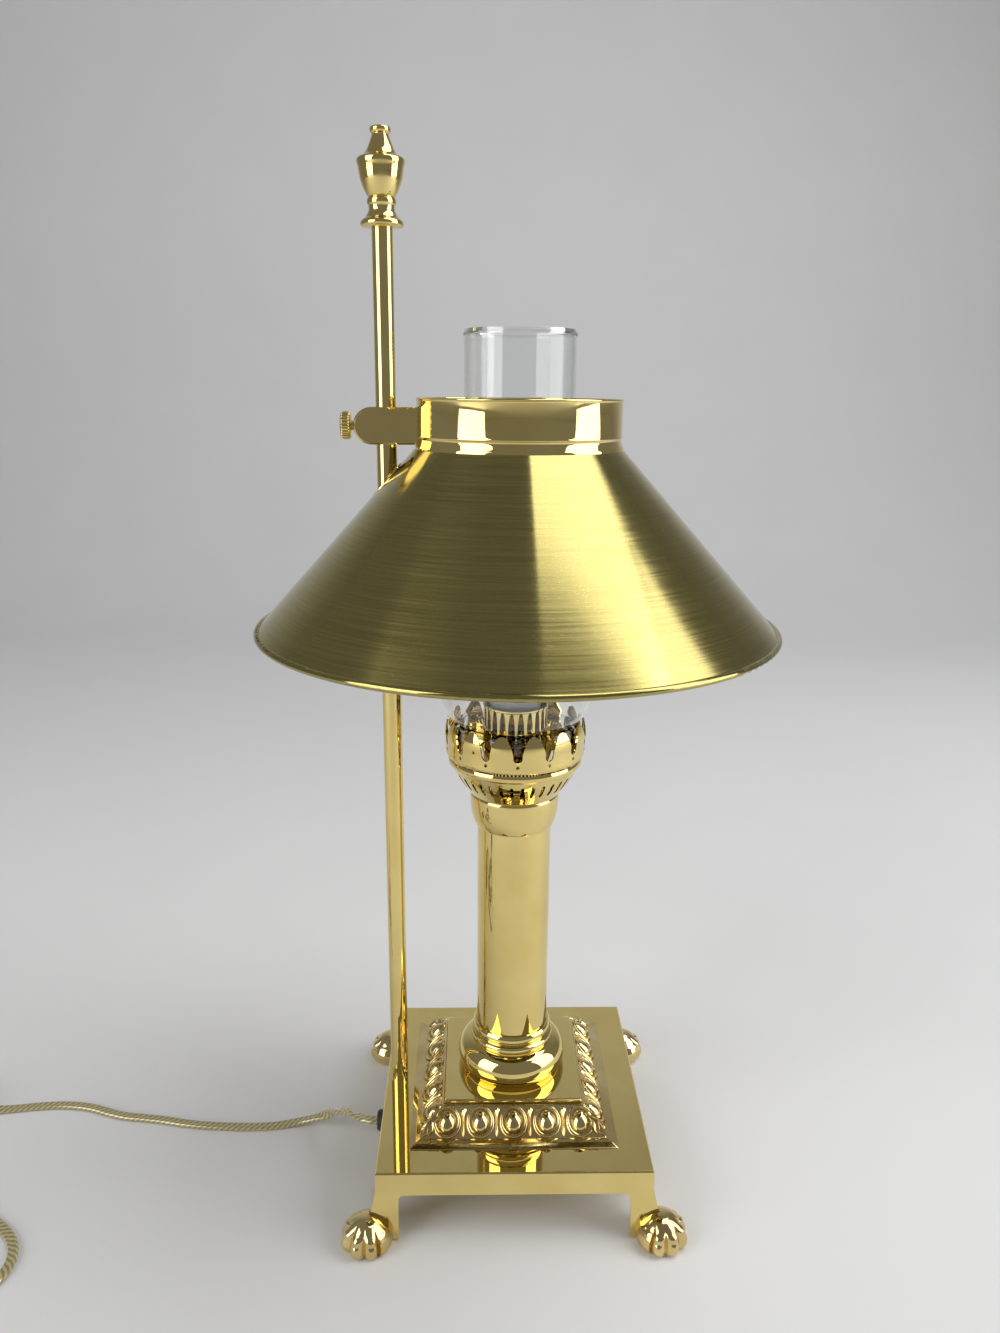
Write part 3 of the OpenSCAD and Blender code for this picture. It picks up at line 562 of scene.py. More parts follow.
@dataclass(frozen=True)
class BrushedBrass:
    """Satin brass brushed round the shade's axis, with fine specks under its lacquer."""

    name: str = "brushed_brass"
    light: Colour = (0.46, 0.39, 0.14)
    dark: Colour = (0.34, 0.29, 0.10)
    speck: Colour = (0.80, 0.72, 0.44)

    def make(self) -> bpy.types.Material:
        """Builds the material."""
        p = Paint(self.name)
        split = p.add("ShaderNodeSeparateXYZ", Vector=p.where)
        flat = p.add("ShaderNodeCombineXYZ", X=split.outputs["X"], Y=split.outputs["Y"])
        unit = p.add("ShaderNodeVectorMath")
        unit.operation = "NORMALIZE"
        p.tree.links.new(flat.outputs[0], unit.inputs[0])
        lift = p.add("ShaderNodeCombineXYZ", Z=split.outputs["Z"])
        ring = {}
        for label, around, up in (("coarse", 1.6, 1500.0), ("fine", 2.6, 5200.0)):
            wide = p.add("ShaderNodeVectorMath")
            wide.operation = "SCALE"
            p.tree.links.new(unit.outputs[0], wide.inputs[0])
            wide.inputs["Scale"].default_value = around
            tall = p.add("ShaderNodeVectorMath")
            tall.operation = "MULTIPLY_ADD"
            p.tree.links.new(lift.outputs[0], tall.inputs[0])
            tall.inputs[1].default_value = (1, 1, up)
            p.tree.links.new(wide.outputs[0], tall.inputs[2])
            ring[label] = p.noise(1, 3, tall.outputs[0])
        both = p.add("ShaderNodeMath")
        both.operation = "ADD"
        p.tree.links.new(ring["coarse"], both.inputs[0])
        p.tree.links.new(ring["fine"], both.inputs[1])
        tone = p.blend(p.ramp(both.outputs[0], 0, 1, 0.7, 1.3), self.dark, self.light)
        dots = p.ramp(p.noise(2600, 1), 0, 1, 0.70, 0.76)
        mix = p.tree.nodes.new("ShaderNodeMix")
        mix.data_type = "RGBA"
        p.tree.links.new(dots, mix.inputs[0])
        p.tree.links.new(tone, mix.inputs[6])
        mix.inputs[7].default_value = (*self.speck, 1)
        p.set(Base_Color=mix.outputs[2], Metallic=1.0, Roughness=p.ramp(ring["coarse"], 0.12, 0.16), Anisotropic=0.9,
              Anisotropic_Rotation=0.25)
        tangent = p.tree.nodes.new("ShaderNodeTangent")
        tangent.direction_type, tangent.axis = "RADIAL", "Z"
        p.tree.links.new(tangent.outputs[0], p.shader.inputs["Tangent"])
        p.bump(ring["fine"], 0.05, 0.02)
        return p.material


@dataclass(frozen=True)
class Glass:
    """Blown glass, clear or frosted."""

    name: str = "clear_glass"
    tint: Colour = (0.985, 0.995, 0.99)
    rough: float = 0.0
    through: float = 1.0

    def make(self) -> bpy.types.Material:
        """Builds the material."""
        p = Paint(self.name)
        p.set(Base_Color=(*self.tint, 1), Metallic=0.0, Transmission_Weight=self.through, IOR=1.46,
              Roughness=p.ramp(p.noise(60, 2), self.rough, self.rough + 0.02))
        p.bump(p.noise(45, 1), 0.02, 0.1)
        return p.material


@dataclass(frozen=True)
class Plain:
    """Hard material of one hue with small variation: plastic, card, steel or plain brass."""

    name: str
    colour: Colour
    rough: float = 0.4
    metal: float = 0.0
    grain: float = 500
    relief: float = 0.05

    def make(self) -> bpy.types.Material:
        """Builds the material."""
        p = Paint(self.name)
        grain = p.noise(self.grain, 3)
        darker = tuple(0.8 * c for c in self.colour)
        p.set(Base_Color=p.blend(p.ramp(p.noise(50, 3), 0, 1), self.colour, darker), Metallic=self.metal,
              Roughness=p.ramp(grain, self.rough, self.rough + 0.12))
        p.bump(grain, self.relief, 0.04)
        return p.material


@dataclass(frozen=True)
class GoldCord:
    """Clear gold insulation with twisted strands showing through, laid out along the cord."""

    name: str = "gold_cord"
    light: Colour = (0.66, 0.60, 0.32)
    dark: Colour = (0.34, 0.28, 0.12)

    def make(self) -> bpy.types.Material:
        """Builds the material."""
        p = Paint(self.name)
        uv = p.add("ShaderNodeUVMap")
        uv.uv_map = "along"
        split = p.add("ShaderNodeSeparateXYZ", Vector=uv.outputs[0])
        turn = p.add("ShaderNodeMath")
        turn.operation = "MULTIPLY"
        p.tree.links.new(split.outputs["X"], turn.inputs[0])
        turn.inputs[1].default_value = 2 * math.pi / (3.2 * MM)
        lean = p.add("ShaderNodeMath")
        lean.operation = "MULTIPLY_ADD"
        p.tree.links.new(split.outputs["Y"], lean.inputs[0])
        lean.inputs[1].default_value = 8 * math.pi
        p.tree.links.new(turn.outputs[0], lean.inputs[2])
        wave = p.add("ShaderNodeMath")
        wave.operation = "SINE"
        p.tree.links.new(lean.outputs[0], wave.inputs[0])
        strand = p.ramp(wave.outputs[0], 0, 1, -0.6, 1.0)
        p.set(Base_Color=p.blend(strand, self.dark, self.light), Metallic=0.35, Roughness=0.26,
              Coat_Weight=1.0, Coat_Roughness=0.05, IOR=1.5)
        p.bump(strand, 0.08, 0.05)
        return p.material


@dataclass(frozen=True)
class Backdrop:
    """Pale matte board."""

    name: str = "pale_board"
    pale: Colour = (0.80, 0.80, 0.80)
    shaded: Colour = (0.76, 0.76, 0.76)

    def make(self) -> bpy.types.Material:
        """Builds the material."""
        p = Paint(self.name)
        p.set(Base_Color=p.blend(p.noise(6, 2), self.shaded, self.pale),
              Roughness=p.ramp(p.noise(3, 2), 0.72, 0.78), Specular_IOR_Level=0.2)
        return p.material


class Workshop:
    """Holds every finish once, and dresses pieces with them."""

    def __init__(self) -> None:
        """Makes the finishes and the repeat tree."""
        kinds = (PolishedBrass(), CastBrass(), BrushedBrass(), Glass(),
                 Glass("frosted_glass", (0.93, 0.94, 0.95), 0.55, 0.25),
                 Plain("plain_brass", (0.66, 0.50, 0.20), 0.24, 1.0), Plain("plain_steel", (0.55, 0.56, 0.58), 0.3, 1.0),
                 Plain("bulb_aluminium", (0.74, 0.75, 0.77), 0.28, 1.0), Plain("fibre_card", (0.20, 0.14, 0.09), 0.8),
                 Plain("dark_plastic", (0.025, 0.025, 0.025), 0.42), Plain("brown_plastic", (0.10, 0.055, 0.025), 0.22),
                 Plain("cream_plastic", (0.62, 0.55, 0.38), 0.3), GoldCord())
        self.finishes = {kind.name: kind.make() for kind in kinds}
        self.repeat = Repeat()

    def dress(self, obj: bpy.types.Object, finish: str, body: str, nodes: Sequence[str] = ()) -> bpy.types.Object:
        """Gives a piece its finish and body, and hides the nodes that it stands for.

        Args:
            obj: The piece.
            finish: The finish's name, which is also the record's slot.
            body: The body that it moves with.
            nodes: The nodes that it stands for.

        Returns:
            The piece.
        """
        obj.data.materials.clear()
        obj.data.materials.append(self.finishes[finish])
        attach(obj, body)
        if nodes:
            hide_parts(*nodes)
        log.info("%s: %d faces, %s", obj.name, len(obj.data.polygons), finish)
        return obj

    def dress_rest(self) -> None:
        """Gives every node that still shows the finish of its slot in the record."""
        slots = {s["node"]: s["material_slot"] for s in frame["record"]["subparts"]}
        for name, obj in frame["nodes"].items():
            if not obj.hide_render:
                obj.data.materials.clear()
                obj.data.materials.append(self.finishes[slots[name]])


# The lamp


@dataclass
class Base:
    """Tray on four paws, with its carved moulding and inner plate. Sizes in millimetres."""

    shop: Workshop
    plate_z: float = 38.0
    paw_centre: float = 74.0
    paw_radius: float = 13.0
    leg_face: float = 73.0
    toes: int = 4
    toe_arc: float = 164.0
    eggs: int = 5
    egg_pitch: float = 17.4
    band_low: Point = (48.4, 40.0)
    band_high: Point = (37.5, 51.8)
    dome: tuple[tuple[float, float, float], ...] = (
        (0, 10.4, 1.0), (1.3, 12.1, 2.1), (3.1, 12.9, 2.8), (5.2, 13.0, 3.0), (7.4, 12.5, 2.9), (9.2, 11.7, 2.5),
        (10.9, 10.8, 1.9), (12.1, 9.4, 1.2), (13.6, 7.8, 0.5), (15.1, 5.7, 0.1), (16.2, 3.4, 0.0))

    def paws(self) -> None:
        """Four paws: a dome whose outer half is divided into knuckled toes."""
        rings, count = [], 240
        for z, r, groove in curve_through(self.dome, 4):
            ring = []
            for j in range(count):
                a = 360 * j / count - 180
                inside = abs(a) < self.toe_arc / 2
                lobe = abs(math.sin(math.pi * (a + self.toe_arc / 2) * self.toes / self.toe_arc)) ** 0.75 if inside else 1
                fade = min(1, (self.toe_arc / 2 - abs(a)) / 12) if inside else 0
                knuckle = 0.4 * math.exp(-((z - 4.6) / 2.4) ** 2) + 0.35 * math.exp(-((z - 10.2) / 1.6) ** 2) \
                    - 0.2 * math.exp(-((z - 8.4) / 0.9) ** 2)
                radius = r - groove * (1 - lobe) + knuckle * lobe * fade
                t = math.radians(a + 45)
                ring.append(Vector((self.paw_centre + radius * math.cos(t), self.paw_centre + radius * math.sin(t), z)) * MM)
            rings.append(ring)
        paw = lofted("paws", rings)
        bm = bmesh.new()
        bmesh.ops.create_cube(bm, size=1)
        side = self.leg_face * MM
        bm.transform(Matrix.Translation((side / 2, side / 2, 0.01)) @ Matrix.Diagonal((side, side, 0.06, 1)))
        cutter = finished("paw_cutter", bm)
        cut = paw.modifiers.new("leg", "BOOLEAN")
        cut.operation, cut.object, cut.solver = "DIFFERENCE", cutter, "EXACT"
        plain(paw)
        bpy.data.objects.remove(cutter)
        self.shop.repeat.apply(paw, self.shop.finishes["cast_brass"], 4, turn=90)
        paw.data.set_sharp_from_angle(angle=math.radians(50))
        self.shop.dress(paw, "cast_brass", "lamp",
                        ("paw_front_right", "paw_back_right", "paw_back_left", "paw_front_left"))

    def _band(self) -> Matrix:
        """Place of the front band's middle: X along it, Y up the slope, Z out of it."""
        (r0, z0), (r1, z1) = self.band_low, self.band_high
        return Matrix.Translation(Vector((0, -(r0 + r1) / 2, (z0 + z1) / 2)) * MM) \
            @ Matrix.Rotation(math.atan2(z1 - z0, r0 - r1), 4, "X")

    def _row(self, obj: bpy.types.Object, count: int) -> bpy.types.Object:
        """Repeats a carving along one side and lays it on the slope.

        Args:
            obj: The carving, at the band's own origin.
            count: How many there are on a side.

        Returns:
            The row.
        """
        self.shop.repeat.apply(obj, self.shop.finishes["cast_brass"], count, pitch=self.egg_pitch, merge=0.001)
        obj.data.transform(self._band())
        return obj

    def moulding(self) -> None:
        """The square moulding with its eggs, ribs, darts and corner leaves."""
        outline = rounded([(54, 38), (54, 38.4), (52.2, 39.2), (51, 39.7), (48.4, 40.0), (44.7, 44.2), (40.9, 48.0),
                           (37.5, 51.8), (36.5, 51.8), (36.5, 50.1), (33, 50.1), (33, 38)], 0.3)
        rings = []
        for half, z in outline:
            ring, soft = [], min(0.6, half * 0.1)
            for q in range(4):
                for k in range(5):
                    t = math.radians(90 * q + 22.5 * k)
                    cx, cy = ((1, 1), (-1, 1), (-1, -1), (1, -1))[q]
                    ring.append(Vector((cx * (half - soft) + soft * math.cos(t),
                                        cy * (half - soft) + soft * math.sin(t), z)) * MM)
            rings.append(ring)
        body = lofted("moulding_body", rings, looped=True)
        egg = turned("egg", curve_through([(0, -7), (1.7, -6.6), (3.2, -5.5), (4.5, -3.4), (5.2, -0.6), (4.9, 2),
                                           (3.7, 4.6), (2, 6.1), (0, 6.7)], 3), Shell.AXIS, 40)
        egg.data.transform(Matrix.Translation((0, 0, -2.3 * MM)) @ Matrix.Rotation(math.radians(-90), 4, "X"))
        turns = [2 * math.pi * k / 48 for k in range(48)]
        path = [Vector((6.5 * math.cos(t), 7.1 * math.sin(t) + 0.1, 0.15)) * MM for t in turns]
        rib = lofted("rib", tube_rings(path, [(1.0 - 0.35 * math.sin(t)) * MM for t in turns], 10, True), looped=True)
        dart = leaf("dart", [(-7.0, 0.2, 0.2), (-5.0, 0.9, 1.0), (-1.5, 0.75, 1.1), (2.5, 0.9, 1.2), (5.2, 1.7, 1.3),
                             (6.6, 1.4, 0.7), (6.9, 0.3, 0.2)], Matrix.Identity(4))
        rows = [self._row(egg, self.eggs), self._row(rib, self.eggs), self._row(dart, self.eggs - 1)]
        low = Vector((self.band_low[0], -self.band_low[0], self.band_low[1]))
        high = Vector((self.band_high[0], -self.band_high[0], self.band_high[1]))
        along = (high - low).normalized()
        across = Vector((1, 1, 0)).normalized()
        turn = Matrix((across, along, across.cross(along))).transposed().to_4x4()
        place = Matrix.Translation((low + high) / 2 * MM) @ turn
        for lean in (-26, 0, 26):
            reach = 1.0 if lean == 0 else 0.72
            rows.append(leaf("corner_leaf", [(-8.6 * reach, 0.3, 0.3), (-6 * reach, 1.7, 1.4), (-2 * reach, 2.1, 1.9),
                                             (3 * reach, 1.5, 1.5), (7 * reach, 0.5, 0.6)],
                             place @ Matrix.Rotation(math.radians(lean), 4, "Z")))
        carving = joined("carving", rows)
        self.shop.repeat.apply(carving, self.shop.finishes["cast_brass"], 4, turn=90, merge=0.0005)
        self.shop.dress(joined("moulding", [body, carving]), "cast_brass", "lamp", ("base_moulding",))

    def build(self) -> None:
        """Builds the whole base."""
        self.shop.dress(softened("base_shell", "tray", 0.45), "polished_brass", "lamp", ("base_shell",))
        self.shop.dress(softened("inner_plate", "top_plate", 0.4), "polished_brass", "lamp", ("inner_plate",))
        self.paws()
        self.moulding()


@dataclass
class Column:
    """Turned foot and capital; the tube between them is the model's own. Sizes in millimetres."""

    shop: Workshop
    bore: float = 5.1
    seat: float = 19.25

    def build(self) -> None:
        """Builds the foot and the capital."""
        ovolo = [(19.5 + 9.8 * math.cos(math.radians(a)), 60.5 + 9.8 * math.sin(math.radians(a)))
                 for a in range(-41, 79, 5)]
        foot = [(self.bore, 54.0), (26.6, 54.0)] + ovolo \
            + curve_through([(21.5, 70.2), (22.2, 70.9), (22.4, 72.2), (22.1, 73.5), (21.2, 74.3)], 3) \
            + curve_through([(20.4, 74.6), (20.9, 75.4), (21.25, 77.0), (21.0, 78.6), (20.2, 79.9)], 3) \
            + [(self.seat, 80.0), (self.seat, 78.0), (self.bore, 78.0)]
        self.shop.dress(turned("column_base", foot), "polished_brass", "lamp", ("column_foot",))
        cap = [(self.seat, 197.0), (20.0, 197.0)] \
            + curve_through([(20.3, 197.2), (21.0, 198.9), (21.7, 201.0), (22.25, 203.4), (22.75, 207), (23, 211),
                             (23, 213.6), (22.6, 214.8), (22.0, 215.0)], 4) \
            + [(self.bore, 215.0), (self.bore, 209.0), (12.0, 209.0), (12.0, 199.0), (self.seat, 199.0)]
        self.shop.dress(turned("column_cap", cap), "polished_brass", "lamp", ("column_capital",))


@dataclass
class Gallery:
    """Slotted bowl and pronged crown, each made as one sector and repeated. Sizes in millimetres."""

    shop: Workshop
    low: float = 215.0
    seat: float = 235.0
    prongs: int = 14
    slots: int = 36
    slot_half: float = 0.9
    wall: float = 0.9

    def _sector(self, name: str, rows: Sequence[tuple[float, float, float]], count: int,
                columns: int, easing: float, start: float = 0.0) -> bpy.types.Object:
        """One sector of a pierced ring, repeated to the full ring.

        Args:
            name: The piece's name.
            rows: Radius, height and half width cut away at each side of the sector, row by row.
            count: Sectors round the ring.
            columns: Faces across one sector.
            easing: Width of its rounded edges.
            start: Angle of the first sector's middle from the front, as a share of the pitch.

        Returns:
            The ring of all sectors, with its wall.
        """
        bm, grid = bmesh.new(), []
        for r, z, cut in rows:
            half = math.pi / count - cut / r
            turns = [half * (2 * j / columns - 1) + 2 * math.pi * start / count for j in range(columns + 1)]
            grid.append([bm.verts.new((r * MM * math.sin(t), -r * MM * math.cos(t), z * MM)) for t in turns])
        for a, b in zip(grid, grid[1:]):
            for j in range(columns):
                bm.faces.new((a[j], a[j + 1], b[j + 1], b[j]))
        obj = finished(name, bm)
        self.shop.repeat.apply(obj, self.shop.finishes["polished_brass"], count, turn=360 / count, merge=0.004)
        wall = obj.modifiers.new("wall", "SOLIDIFY")
        wall.thickness, wall.offset = self.wall * MM, -1
        plain(obj)
        edge = obj.modifiers.new("eased", "BEVEL")
        edge.width, edge.segments, edge.limit_method, edge.angle_limit = easing * MM, 2, "ANGLE", math.radians(50)
        obj.data.set_sharp_from_angle(angle=math.radians(40))
        return obj

    def crown(self) -> None:
        """The crown: a seat, a bulged wall with small holes, and tulip-shaped prongs."""
        z0 = self.seat
        side = curve_through([(24, 1.0), (30, 1.0), (34.2, 1.0), (35.1, 1.4), (35.5, 2.6), (35.5, 5), (35.6, 9),
                              (35.9, 12), (35.7, 15), (35.1, 18), (34.6, 20)], 8)
        gap = curve_through([(9.4, 2.2), (11.5, 2.35), (13.6, 2.9), (15.6, 3.6), (17.2, 4.4), (18.4, 5.0), (19.2, 5.6),
                             (19.8, 6.6), (20.05, 7.4)], 8)
        rows = []
        for r, h in side:
            cut = 0.0
            if r > 34 and abs(h - 5) < 0.9:
                cut = math.sqrt(0.81 - (h - 5) ** 2)
            elif 7.2 < h <= 9.4:
                cut = math.sqrt(max(0, 2.2 ** 2 - (9.4 - h) ** 2))
            elif h > 9.4:
                cut = next((a[1] + (b[1] - a[1]) * (h - a[0]) / (b[0] - a[0])
                            for a, b in zip(gap, gap[1:]) if a[0] <= h <= b[0]), gap[-1][1])
            rows.append((r, z0 + h, cut))
        crown = self._sector("gallery_prongs", rows, self.prongs, 12, 0.32, 0.5)
        self.shop.dress(crown, "polished_brass", "lamp", ("gallery_crown",))

    def bowl(self) -> None:
        """The bowl: a flared cup with upright slots and a rolled lip."""
        z0 = self.low
        side = curve_through([(22.6, 0.1), (23.6, 0.7), (25.3, 3.0), (27.3, 5.8), (29.3, 8.8), (30.9, 11.6), (32.3, 14.4),
                              (33.1, 16), (34.0, 16.6), (34.3, 17.6), (34.3, 18.6), (33.9, 19.9)], 6)
        rows = []
        for r, h in side:
            t = (h - 9.3) / 3.6
            cut = self.slot_half * math.sqrt(max(0, 1 - max(0, abs(t) - 0.75) ** 2 / 0.0625)) if abs(t) < 1 else 0.0
            rows.append((r, z0 + h, cut))
        bowl = self._sector("gallery_cup", rows, self.slots, 8, 0.12)
        self.shop.dress(bowl, "polished_brass", "lamp", ("gallery_bowl",))

    def build(self) -> None:
        """Builds both rings."""
        self.bowl()
        self.crown()


@dataclass
class Light:
    """The bulb's glass and the chimney. Sizes in millimetres."""

    shop: Workshop
    glass_z: float = 254.7
    chimney_z: float = 236.3
    wall: float = 1.6

    def build(self) -> None:
        """Builds both glasses."""
        z = self.glass_z
        outer = curve_through([(12.5, z - 2), (12.5, z + 5.4), (13.3, z + 8.5), (15, z + 13.5), (16, z + 19), (16, z + 60),
                               (16, z + 104), (15.5, z + 110), (14.2, z + 114), (12, z + 117.4), (9, z + 120),
                               (5, z + 121.6), (0, z + 122.2)], 5)
        inner = [(max(r - 1.0, 0.0), h - (1.0 if h > z + 110 else 0.0)) for r, h in reversed(outer[:-1])]
        inner = [p for p in inner if p[0] > 0.3]
        outline = outer + [(0.0, z + 121.2)] + inner
        bulb = turned("bulb_envelope", outline, Shell.AXIS, 96)
        self.shop.dress(bulb, "frosted_glass", "bulb", ("bulb_glass",))
        rise = [(30, 0.3), (30.2, 2), (30.2, 12), (29.8, 14.4), (30.1, 16.2), (31.6, 18.2), (34, 20.4), (36, 22.8),
                (37.2, 25.6), (37.9, 29.4), (38, 34), (37.6, 40), (36.6, 46), (35, 53), (33.1, 60.4), (31, 68.4),
                (29, 77), (27.3, 86), (26.3, 94), (26, 101), (26, 150), (26, 201), (26.35, 202.4), (26.3, 203.6)]
        wall = curve_through([(r, self.chimney_z + h) for r, h in rise], 5)
        inside = [(r - self.wall, h) for r, h in reversed(wall)]
        self.shop.dress(turned("glass_chimney", rounded(wall + inside, 0.5), segments=160), "clear_glass", "chimney",
                        ("chimney",))


@dataclass
class Rod:
    """Finial and thumb screw; the rod itself is the model's own. Sizes in millimetres."""

    shop: Workshop
    rod_x: float = -62.5
    top: float = 484.0
    arm_z: float = 398.0
    knurls: int = 24

    def finial(self) -> None:
        """The vase-shaped finial."""
        steps = [
            [(8.6, 0), (9.5, 0.5), (9.75, 1.6), (9.1, 2.8), (7.7, 3.8), (6.9, 4.9), (6.05, 6.6), (5.8, 7.9), (6, 9)],
            [(6.45, 9.6), (6.6, 10.6), (6.3, 11.8)], [(5.7, 12.3)],
            [(6.3, 12.8), (7, 14), (7.9, 15.8), (8.7, 17.8), (9.3, 19.5), (9.8, 22), (10.1, 24), (10.6, 25.8)],
            [(10.75, 26.6), (10.6, 27.6), (9.8, 28.3)],
            [(8.6, 28.8), (7.35, 29.6), (6.2, 31.4), (5.2, 33.6), (4.3, 35.8), (3.6, 37.7)],
            [(4.2, 38.2), (4.6, 38.9), (4.6, 40.0), (4.0, 40.7), (2.0, 40.95), (0, 41)]]
        outline = [(2.95, 0.0)] + [p for run in steps for p in (curve_through(run, 4) if len(run) > 1 else run)]
        outline += [(0.0, 9.0), (2.95, 9.0)]
        finial = turned("vase_finial", [(r, self.top + h) for r, h in outline], Shell.LOOP, 96,
                        Matrix.Translation((self.rod_x * MM, 0, 0)))
        self.shop.dress(finial, "polished_brass", "lamp", ("finial",))

    def screw(self) -> None:
        """The knurled head of the thumb screw: one toothed sector, repeated round its axis."""
        bm, half = bmesh.new(), math.pi / self.knurls
        skin = rounded([(0.0, 0.0), (5.6, 0.0), (6.4, 0.8), (6.4, 3.8), (5.7, 4.6), (3.6, 4.9), (2.15, 4.9), (2.15, 0.6),
                        (0.0, 0.6)], 0.25)
        grid = []
        for r, z in skin:
            if r < 1e-6:
                grid.append([bm.verts.new((0, 0, z * MM))])
                continue
            ring = []
            for j in range(9):
                a = half * (j / 4 - 1)
                dip = 0.42 * max(0.0, abs(j / 4 - 1) * 2 - 1) ** 1.5 if r > 5.5 else 0.0
                ring.append(bm.verts.new(((r - dip) * MM * math.cos(a), (r - dip) * MM * math.sin(a), z * MM)))
            grid.append(ring)
        for a, b in zip(grid, grid[1:]):
            for j in range(8):
                if len(a) > 1 and len(b) > 1:
                    bm.faces.new((a[j], a[j + 1], b[j + 1], b[j]))
                elif len(b) > 1:
                    bm.faces.new((a[0], b[j + 1], b[j]))
                elif len(a) > 1:
                    bm.faces.new((a[j], a[j + 1], b[0]))
        head = finished("screw_knob", bm)
        self.shop.repeat.apply(head, self.shop.finishes["polished_brass"], self.knurls, turn=360 / self.knurls, merge=0.003)
        head.data.transform(Matrix.Translation((-83.6 * MM, 0, self.arm_z * MM)) @ Matrix.Rotation(math.radians(90), 4, "Y"))
        head.data.set_sharp_from_angle(angle=math.radians(40))
        self.shop.dress(head, "polished_brass", "screw_head", ("thumb_screw_head",))

    def build(self) -> None:
        """Builds the finial, the screw and the arm."""
        self.finial()
        self.screw()
        self.shop.dress(softened("clamp_arm", "arm", 0.3), "polished_brass", "shade", ("clamp_arm",))


@dataclass
class Shade:
    """Collar and the lip of the rod's hole; the cone is the model's own. Sizes in millimetres."""

    shop: Workshop
    rim: Point = (126.0, 303.0)
    neck: Point = (49.4, 387.7)
    hole_x: float = -62.5
    hole_r: float = 6.75

    def build(self) -> None:
        """Builds the collar and the lip."""
        z = self.neck[1]
        outer = [(49.4, z), (49.35, z + 0.9)] + curve_through(
            [(49.2, z + 1.2), (48.6, z + 2.6), (48.1, z + 3.9), (48.0, z + 4.5), (48.2, z + 5.2), (48.6, z + 5.9),
             (48.4, z + 6.6), (48.3, z + 7.4)], 3) + [(48.3, z + 21.6)] + curve_through(
            [(48.45, z + 22.1), (48.75, z + 22.6), (48.55, z + 23.1), (48.0, z + 23.3)], 3)
        inner = [(47.4, z + 23.1), (47.3, z + 22.4), (47.3, z + 4), (48.2, z + 0.6), (48.5, z)]
        self.shop.dress(turned("shade_band", outer + inner, segments=160), "polished_brass", "shade", ("shade_collar",))
        slope = (self.rim[0] - self.neck[0]) / (self.neck[1] - self.rim[1])
        path = []
        for k in range(48):
            t = 2 * math.pi * k / 48
            x, y = self.hole_x + self.hole_r * math.cos(t), self.hole_r * math.sin(t)
            path.append(Vector((x, y, self.rim[1] + (self.rim[0] - math.hypot(x, y)) / slope)) * MM)
        lip = lofted("rod_hole_lip", tube_rings(path, [0.4 * MM] * 48, 8, True), looped=True)
        self.shop.dress(lip, "polished_brass", "shade")


